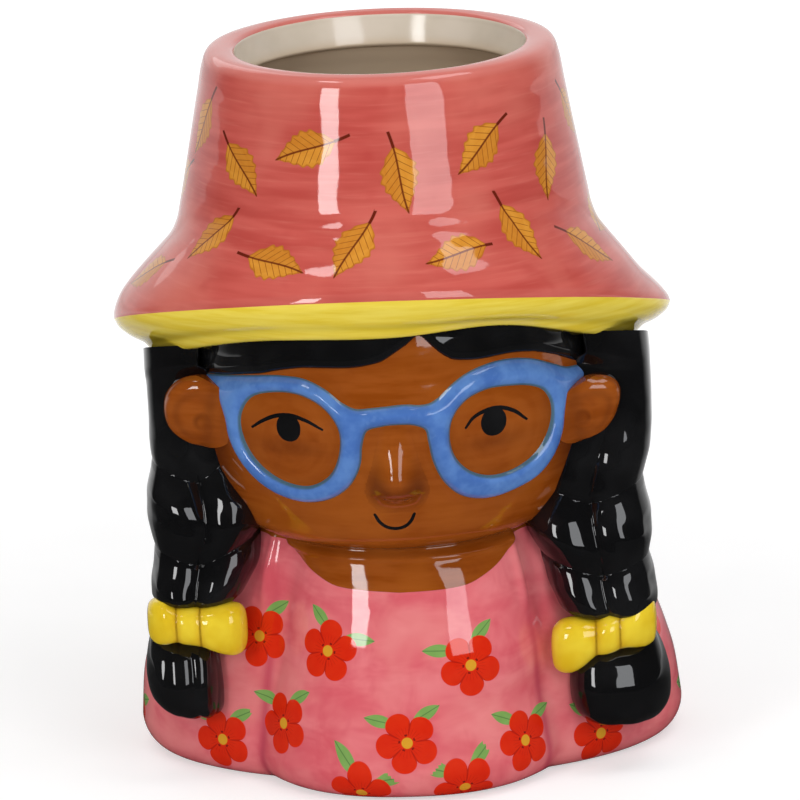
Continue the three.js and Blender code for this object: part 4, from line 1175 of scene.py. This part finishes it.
# ---------------------------------------------------------------- ears
def ear(name, side, centre, half, power, node, concha, lean=0.0):
    """A domed oval on a pressed base. concha: u, v and radius of the dent in it. lean: how far it slants."""
    r, a = np.linspace(0.0, 1.0, 40)[:, None], round_angles(96)[None, :]
    cx, cz = squared(np.cos(a), 2 / power), squared(np.sin(a), 2 / power)
    axis = np.array([side * 0.10, -0.97, -0.22])
    axis /= np.linalg.norm(axis)
    east = np.cross([0, 0, 1], axis)
    east /= np.linalg.norm(east)
    north = np.cross(axis, east)
    # On the side of the cheek the ear reaches further, under the face
    toward_cheek = smooth(-side * np.cos(a), 0.0, 0.8)
    v = half[1] * cz * r
    u = half[0] * cx * r * (1 + 0.5 * toward_cheek) + lean * v
    dome = half[2] * (1 - (r * (1 - 0.25 * toward_cheek)) ** 3.6) ** 0.6 - 0.5 * np.sin(r * np.pi) * (1 - r)
    ring_r = np.hypot(u - concha[0], v - concha[1])
    detail = -0.4 * bell(ring_r, 0, concha[2] * 0.9) + 0.32 * bell(ring_r, concha[2] * 1.3, 1.1)
    detail = detail + 0.10 * bell(r, 0.80, 0.14) - 0.20 * bell(r, 0.58, 0.18)
    p = np.array(centre) + u[..., None] * east + v[..., None] * north + (dome + detail)[..., None] * axis
    # Towards the cheek the ear runs into the face
    whole = np.broadcast_to(r, ring_r.shape)
    theta, radius = np.arctan2(p[..., 1], p[..., 0]), np.hypot(p[..., 0], p[..., 1])
    face = head_radius(theta, p[..., 2]) + 0.04
    inside = face - radius
    merged = -smooth_min(-radius, -face, 8.0)
    soft = smooth(inside, -7, -1)
    surface = p.copy()
    surface[..., :2] *= (merged / radius)[..., None]
    dive = smooth(inside, 5.5, 8.0)
    p[..., :2] *= ((merged - 1.2 * dive) / radius)[..., None]
    p, surface = finish(p, BODY), finish(surface, BODY)
    # Painted shade round the ear's dent, inside and along its rim, and in the crease at the cheek
    shade = 0.7 * bell(ring_r, concha[2] * 0.7, 0.9) + 0.3 * bell(whole, 0.62, 0.12) + 0.45 * smooth(whole, 0.9, 1.0)
    shade = shade * (1 - soft) + 0.35 * bell(inside, -1.0, 2.2)
    n = grid_normals(surface)
    n[0] = n[1].mean(0)
    back = finish(np.array(centre) + u[-1][:, None] * 0.8 * east + v[-1][:, None] * 0.8 * north - 5 * axis, BODY)
    Piece().grid(p, n, shade).grid(np.stack([back, p[-1]])[::-1]).make(name, [node], SKIN, "skin")


ear("ear_left", -1, (-51.6, -31.8, 103.9), (10.2, 10.5, 4.6), 2.15, "left_ear", (1.4, -1.6, 2.7))
ear("ear_right", 1, (52.0, -31.6, 101.0), (8.6, 9.4, 4.6), 2.4, "right_ear", (-2.4, -0.8, 2.3), 0.26)


# ---------------------------------------------------------------- braids, bows and tails
# path: x, y, z, half width and half depth of the braid from the top down
# valleys: heights of the creases. drop: how far their ends hang below their middle
BRAIDS = {
    -1: {
        "path": [
            (-55.4, -15.3, 124, 11.8, 14.6), (-54.9, -16.6, 110, 12.0, 14.4), (-54.4, -18.0, 98, 12.2, 14.0),
            (-53.6, -20.6, 87, 13.2, 14.0), (-52.4, -23.6, 78.0, 15.0, 14.0), (-52.0, -25.4, 71.0, 15.5, 13.8),
            (-53.0, -28.2, 60, 13.9, 13.2), (-54.9, -30.6, 52.6, 12.3, 12.8), (-55.5, -31.4, 48.8, 11.8, 12.8),
        ],
        "valleys": [156, 124, 83.6, 62.1, 46.0],
        "drop": [0, 2, 8, 5, 1.5],
        "centre": -0.02,
        "tilt": 1.3,
    },
    1: {
        "path": [
            (56.2, -15.3, 124, 12.6, 14.6), (56.5, -16.6, 110, 13.3, 14.4), (55.9, -18.4, 98, 13.8, 14.0),
            (53.8, -20.5, 87, 14.4, 14.0), (51.6, -22.9, 77.0, 15.6, 14.0), (51.0, -25.4, 69.0, 16.7, 14.0),
            (53.8, -28.8, 55, 14.5, 13.2), (55.8, -31.2, 45.6, 12.8, 12.8), (56.5, -32.0, 42.2, 12.2, 13.0),
        ],
        "valleys": [156, 118, 74.6, 55.6, 38.5],
        "drop": [0, 2, 5.8, 4.4, 1],
        "centre": 0.04,
        "tilt": -0.5,
    },
}


def braid(side, word):
    b = BRAIDS[side]
    step, closing = 0.32, 5.0
    path = spline(b["path"], step)
    a = round_angles(168)
    u, front = np.cos(a), np.clip(-np.sin(a), 0, 1)
    zc = np.array(b["valleys"][::-1], float)
    drops = np.array(b["drop"][::-1], float)
    rows, maroon_tints, parts = [], [], []
    for i, (x, y, z, half, deep) in enumerate(path):
        # The lower end closes like a dome
        end = min((len(path) - 1 - i) * step / closing, 1)
        close = math.sqrt(1 - (1 - end) ** 2)
        off = u - b["centre"] - 0.05 * math.sin(z / 5.0 + side)
        level = z - np.interp(z, zc, drops) * np.abs(off) ** 1.1 - b["tilt"] * off
        phase = pchip(zc, np.arange(len(zc), dtype=float), level)
        part = phase - np.floor(phase)
        lobe = np.diff(zc)[np.clip(np.floor(phase).astype(int), 0, len(zc) - 2)]
        wave = np.sin(np.pi * part)
        plaited = 1 - smooth(z, 80, 101)
        # Two strands side by side make the front of a lobe
        strand = np.sqrt(np.clip(1 - ((np.abs(off) - 0.46) / 0.62) ** 2, 0, 1))
        single = np.sqrt(np.clip(1 - u**2, 0, 1))
        # Above the plait the hair hangs as one flat lock
        lock = np.clip(1 - np.abs(u) ** 3.4, 0, 1) ** (1 / 3.4)
        shape = lerp(lock, 0.42 * single + 0.58 * strand * np.clip(single / 0.5, 0, 1) ** 0.5, plaited)
        uneven = 1 + 0.16 * np.sin(z / 9.0 + 2.2 * off + 1.4 * side)
        relief = (np.minimum(0.105 * lobe, 2.3) * uneven * wave - 1.1) * plaited
        pressed = 0.11 * np.sin(0.8 * z + 5 * u + 2 * side)
        fine = (0.05 * np.sin(u * 24 + 5 * part) + pressed) * wave * plaited
        grow = (relief + fine) * (0.85 + 0.15 * front)
        px = x + (half + grow) * close * np.cos(a)
        py = np.where(np.sin(a) < 0, y - (deep + grow * 1.1) * close * shape, y + deep * close * np.sin(a))
        rows.append(np.stack([px, py, np.full_like(a, z)], -1))
        # A maroon tint on the inner lower side: black glaze thin over the clay, and a painted reflection of the pink
        # dress
        maroon_tints.append(bell(z, 66 if side < 0 else 60, 9) * front * smooth(-u * side, 0.35, 0.75))
        parts.append(lerp(0.5, part, smooth(plaited, 0.2, 0.6)))
    g, shade, part = (np.stack(v)[::-1] for v in (rows, maroon_tints, parts))
    # The upper lock flows into the hair of the head
    theta, radius = np.arctan2(g[..., 1], g[..., 0]), np.hypot(g[..., 0], g[..., 1])
    z = g[..., 2]
    scalp = head_radius(theta, z) + HAIR_UP
    line = hairline_at(theta)
    cover = smooth(z - line, -1, 3) * smooth(z, 86, 96) * (np.sin(np.broadcast_to(a, z.shape)) < 0.2)
    k = 7.0 + 8.0 * smooth(z, 104, 114)
    merged = -smooth_min(-radius, -scalp, k)
    deepness = scalp - radius
    grown = lerp(radius, merged, cover)
    surface = g.copy()
    surface[..., :2] *= (grown / radius)[..., None]
    dive = smooth(deepness / k, 0.93, 1.36) * cover
    g[..., :2] *= (lerp(grown, radius, dive) / radius)[..., None]
    # Braids stop on the plane that the hat sits on
    top = SEAT + 0.4 - SEAT_SLOPE * g[..., 1]
    keep = np.where((z < top - 1e-6).any(1))[0].max() + 2
    g[..., 2] = np.minimum(z, top)
    g, shade, surface, part = g[:keep], shade[:keep], surface[:keep], part[:keep]
    g, surface = finish(g, STILL), finish(surface, STILL)
    n = grid_normals(surface)
    # A crease is sharp, so no normal in it faces halfway between the two lobes
    n[..., 2] = lerp(n[..., 2], np.maximum(n[..., 2], 0.6), smooth(part, 0.91, 0.95))
    n[..., 2] = lerp(n[..., 2], np.minimum(n[..., 2], -0.05), smooth(-part, -0.07, -0.04))
    n /= np.linalg.norm(n, axis=-1, keepdims=True)
    n[0] = [0, 0, -1]
    Piece().grid(g, n, shade).make("braid_" + word, [word + "_braid"], BLACK, "black")


braid(-1, "left")
braid(1, "right")


def bow(side, word, stops, creases):
    """stops: (x, z, half height, half depth, y) along the band. creases split loop, knot and loop."""
    path = spline(stops, 0.3)
    a = round_angles(72)
    ca, sa = squared(np.cos(a), 0.86), squared(np.sin(a), 0.86)
    g = np.stack([np.stack([np.full_like(a, x), y + d * ca, z + h * sa], -1) for x, z, h, d, y in path])
    # Painted shade in the creases between the loops and the knot
    shade = sum(0.5 * bell(g[..., 0], c, 1.1) for c in creases)
    g = finish(g, STILL)
    n = grid_normals(g)
    flip = np.einsum("ijk,ijk->", n, g - g.mean(1, keepdims=True)) < 0
    n = -n if flip else n
    low, high = creases
    x = path[:, 0]
    parts = [(x <= low + 0.4, 0), ((x >= low - 0.4) & (x <= high + 0.4), 1), (x >= high - 0.4, 2)]
    names = ["inner_loop", "knot", "outer_loop"] if side > 0 else ["outer_loop", "knot", "inner_loop"]
    for mask, k in parts:
        f = quads(mask.sum(), len(a))
        piece = Piece().patch(g[mask], f[:, ::-1] if flip else f, n[mask], shade[mask])
        piece.make(f"bow_{names[k]}_{word}", [f"{word}_bow_{names[k]}"], BOW, "yellow")


bow(
    -1, "left",
    [
        (-68.9, 46.8, 0.1, 0.1, -36.0), (-68.8, 46.8, 3.2, 2.6, -36.2), (-68.2, 46.8, 5.0, 4.4, -36.8),
        (-66.6, 46.9, 6.2, 5.4, -37.8), (-64.0, 46.9, 6.3, 5.7, -38.9), (-61.9, 46.6, 5.4, 5.3, -39.6),
        (-60.7, 46.4, 5.0, 5.1, -39.9), (-59.4, 46.2, 5.2, 5.5, -40.1), (-57.4, 46.0, 5.3, 5.6, -40.3),
        (-55.4, 45.7, 5.3, 5.4, -40.4), (-54.3, 45.5, 5.4, 5.2, -40.4), (-52.0, 45.2, 6.1, 5.6, -40.4),
        (-48.4, 44.8, 7.1, 5.9, -40.2), (-45.4, 44.6, 7.3, 5.7, -40.0), (-43.4, 44.7, 6.6, 4.8, -39.8),
        (-42.2, 44.9, 4.8, 3.2, -39.6), (-41.8, 44.9, 2.6, 1.8, -39.6), (-41.7, 44.9, 0.1, 0.1, -39.6),
    ],
    (-60.7, -54.3),
)
bow(
    1, "right",
    [
        (40.2, 36.4, 0.1, 0.1, -40.0), (40.3, 36.4, 3.0, 2.2, -40.0), (41.0, 36.4, 5.6, 4.2, -40.1),
        (42.8, 36.6, 7.2, 5.4, -40.2), (45.6, 37.0, 7.6, 5.9, -40.4), (48.8, 37.8, 6.7, 5.8, -40.5),
        (51.2, 38.6, 5.5, 5.3, -40.4), (52.4, 39.0, 5.0, 5.1, -40.4), (53.6, 39.4, 5.2, 5.5, -40.5),
        (55.4, 39.8, 5.4, 5.8, -40.5), (57.4, 40.2, 5.2, 5.6, -40.2), (58.8, 40.5, 5.0, 5.1, -39.9),
        (60.4, 41.0, 5.4, 5.3, -39.4), (63.4, 41.8, 6.4, 5.6, -38.6), (66.0, 42.2, 6.8, 5.2, -37.6),
        (67.9, 42.3, 5.8, 4.2, -36.8), (68.6, 42.3, 3.6, 2.6, -36.3), (68.8, 42.3, 0.1, 0.1, -36.2),
    ],
    (52.4, 58.8),
)

TAIL_HEIGHTS = [7, 12, 16, 22, 28, 34, 40, 46, 60]
TAIL_LEAN = [-3.5, -2.4, -0.1, 2.1, 2.0, 0.2, -2.8, -7.0, -9.0]


def tail(word, outline, y_mid, deep, grooves, depth, lower, turn):
    """outline: (z, inner x, outer x) from the top down. grooves: the combed cuts. lower: how far it hangs lower."""
    a = round_angles(128)
    front = np.clip(-np.sin(a), 0, 1)
    flat = squared(np.cos(a), 0.84), squared(np.sin(a), 0.78)
    full = abs(outline[2][2] - outline[2][1]) / 2
    rows = []
    for z, x0, x1 in spline(outline, 0.35):
        mid, half = (x0 + x1) / 2, abs(x1 - x0) / 2
        cut = grooves(np.cos(a), z)
        d = deep * np.clip(half / full, 0.02, 1.0) ** 0.8
        px = mid + (half - 0.4 * depth * cut) * flat[0]
        # The tail comes out from under the bow and swells forward
        lean = pchip(TAIL_HEIGHTS, TAIL_LEAN, z + lower) * front
        py = y_mid - lean + (d - depth * cut * front) * flat[1] + turn * (px - mid)
        pz = z + 0.25 * depth * cut * smooth(-z, -30, -20)
        rows.append(np.stack([px, py, pz], -1))
    g = finish(np.stack(rows)[::-1], STILL)
    n = grid_normals(g)
    n[0], n[-1] = [0, 0, -1], [0, 0, 1]
    Piece().grid(g, n).make("tail_" + word, [word + "_braid_tail"], BLACK, "black")


def comb_left(u, z):
    waves = np.abs(np.sin((u - 0.12) * 4.6 + 0.5 * np.sin(z * 0.14)))
    return (1 - waves**0.8) * smooth(-z, -46, -34) * smooth(u, -0.6, -0.2)


def comb_right(u, z):
    waves = np.abs(np.sin((u + 0.1) * 4.6))
    return (1 - waves**0.8) * smooth(-z, -20, -14)


tail(
    "left",
    [
        (47.0, -53.0, -66.4), (42.0, -51.6, -68.4), (36.0, -50.2, -69.8), (30.0, -49.4, -70.1), (24.5, -49.1, -68.9),
        (20.9, -49.4, -65.8), (18.9, -50.6, -61.6), (18.0, -53.4, -58.2), (17.8, -55.9, -56.1),
    ],
    -31.2, 11.0, comb_left, 1.1, 0.0, 0.0,
)
tail(
    "right",
    [
        (40.5, 49.0, 66.0), (36.0, 46.6, 69.0), (31.0, 45.4, 71.0), (24.0, 44.6, 72.4), (18.5, 45.4, 72.0),
        (15.2, 47.8, 70.0), (13.2, 52.6, 66.3), (12.6, 57.8, 61.6), (12.5, 59.6, 59.9),
    ],
    -31.0, 12.4, comb_right, 0.3, 4.5, 0.14,
)


# ---------------------------------------------------------------- floor, light and camera
def rays(tree):
    """1 for the camera's rays, and 1 for mirrored and refracted ones."""
    outputs = add(tree, "LightPath").outputs
    camera, glossy, through = (Term(tree, outputs[f"Is {kind} Ray"]) for kind in ("Camera", "Glossy", "Transmission"))
    return camera, glossy.max(through)


floor_mesh = bpy.data.meshes.new("floor")
floor_mesh.from_pydata([(-12, -12, 0), (12, -12, 0), (12, 12, 0), (-12, 12, 0)], [], [(0, 1, 2, 3)])
material = bpy.data.materials.new("floor_paper")
material.use_nodes = True
floor_mesh.materials.append(material)
floor = add_object("floor", floor_mesh)
floor.location.z = -0.0002
tree = material.node_tree
grain = Term(tree, add(tree, "TexNoise", {"Scale": 900}).outputs[0])
camera_ray, mirror_ray = rays(tree)
x, y, _ = xyz(tree, add(tree, "TexCoord").outputs["Object"])
# The paper is as white behind the pot as the camera sees it, and runs out into a dark room in front
behind = y.above(0.02, 0.40)
far = (x**2.0 + y**2.0).root().above(0.15, 0.6)
soft_ray = 1 - camera_ray.max(mirror_ray)
albedo = (grain * 0.04 + 0.60 + soft_ray * 0.22) * (1 - mirror_ray * (1 - behind) * 0.9)
for name, value in {
    "Base Color": add(tree, "CombineColor", {i: albedo for i in range(3)}).outputs[0],
    "Roughness": 0.9,
    "Specular IOR Level": 0.1,
    "Emission Color": (1, 1, 1, 1),
    "Emission Strength": camera_ray * (far * 0.34 + 0.52) + mirror_ray * behind * 0.6,
}.items():
    feed(tree, tree.nodes["Principled BSDF"].inputs[name], value)

world = bpy.data.worlds.new("studio")
bpy.context.scene.world = world
world.use_nodes = True
tree = world.node_tree
toward = xyz(tree, add(tree, "TexCoord").outputs["Generated"])[1]
camera_ray, mirror_ray = rays(tree)
# The white room lies behind the pot, and the camera's side is dark. Other light is even
room = toward.above(0.2, 0.85) * 0.97 + 0.03
strength = camera_ray.max(mirror_ray * room) + (1 - camera_ray.max(mirror_ray)) * 0.39
feed(tree, tree.nodes["Background"].inputs["Color"], (1, 1, 1, 1))
feed(tree, tree.nodes["Background"].inputs["Strength"], strength)


def direction(azimuth, elevation):
    """From the pot, at an angle in degrees from its front and one upwards."""
    a, e = math.radians(azimuth), math.radians(elevation)
    return Vector((math.sin(a) * math.cos(e), -math.cos(a) * math.cos(e), math.sin(e)))


COOL = (0.95, 0.97, 1.0)


def lamp(name, azimuth, elevation, distance, width, height, radiance, colour=(1, 1, 1)):
    """A rectangle that faces the middle of the pot. Sizes in metres."""
    light = bpy.data.lights.new(name, "AREA")
    light.shape = "RECTANGLE"
    light.size, light.size_y = width, height
    light.energy = radiance * math.pi * width * height
    light.color = colour
    obj = add_object(name, light)
    way = direction(azimuth, elevation)
    obj.location = Vector((0, 0, 0.10)) + way * distance
    obj.rotation_mode = "QUATERNION"
    obj.rotation_quaternion = (-way).to_track_quat("-Z", "Y")
    return obj


def panel(name, azimuth, distance, width, low, high, radiance, colour=(1, 1, 1)):
    """An upright lamp between two heights."""
    lamp(name, azimuth, 0, distance, width, high - low, radiance, colour).location.z = (low + high) / 2


panel("strip_left", -31, 1.1, 0.19, 0.28, 0.70, 11.5)
panel("window_right", 27, 1.15, 0.41, 0.28, 1.05, 4.6, COOL)
lamp("high_left", -46, 60, 1.2, 0.22, 0.14, 8.0)
lamp("high_right", 60, 61, 1.2, 0.50, 0.36, 3.8, COOL)
lamp("top", 10, 80, 1.2, 0.9, 0.9, 1.0).visible_glossy = False
lamp("back_left", -150, 35, 1.5, 0.8, 0.8, 0.8)

# The camera, as fitted to the photograph: degrees, metres and pixels of its frame
AZIMUTH, ELEVATION, ROLL = 1.6, 15.5, 2.4
DISTANCE, TARGET = 1.6, Vector((0, 0, 0.098))
FRAME, SHIFT_X, SHIFT_Y = 800, 4, -7.5
back = direction(AZIMUTH, ELEVATION)
right = Vector((math.cos(math.radians(AZIMUTH)), math.sin(math.radians(AZIMUTH)), 0))
upright = Matrix((right, back.cross(right), back)).transposed()
camera_data = bpy.data.cameras.new("camera")
camera_data.sensor_width, camera_data.lens = 36, 262.8
camera_data.shift_x, camera_data.shift_y = SHIFT_X / FRAME, SHIFT_Y / FRAME
camera_data.clip_start, camera_data.clip_end = 0.05, 60
camera = add_object("camera", camera_data)
turned = upright @ Matrix.Rotation(-math.radians(ROLL), 3, "Z")
camera.matrix_world = Matrix.Translation(TARGET + DISTANCE * back) @ turned.to_4x4()
bpy.context.scene.camera = camera
bpy.context.scene.view_settings.view_transform = "Standard"
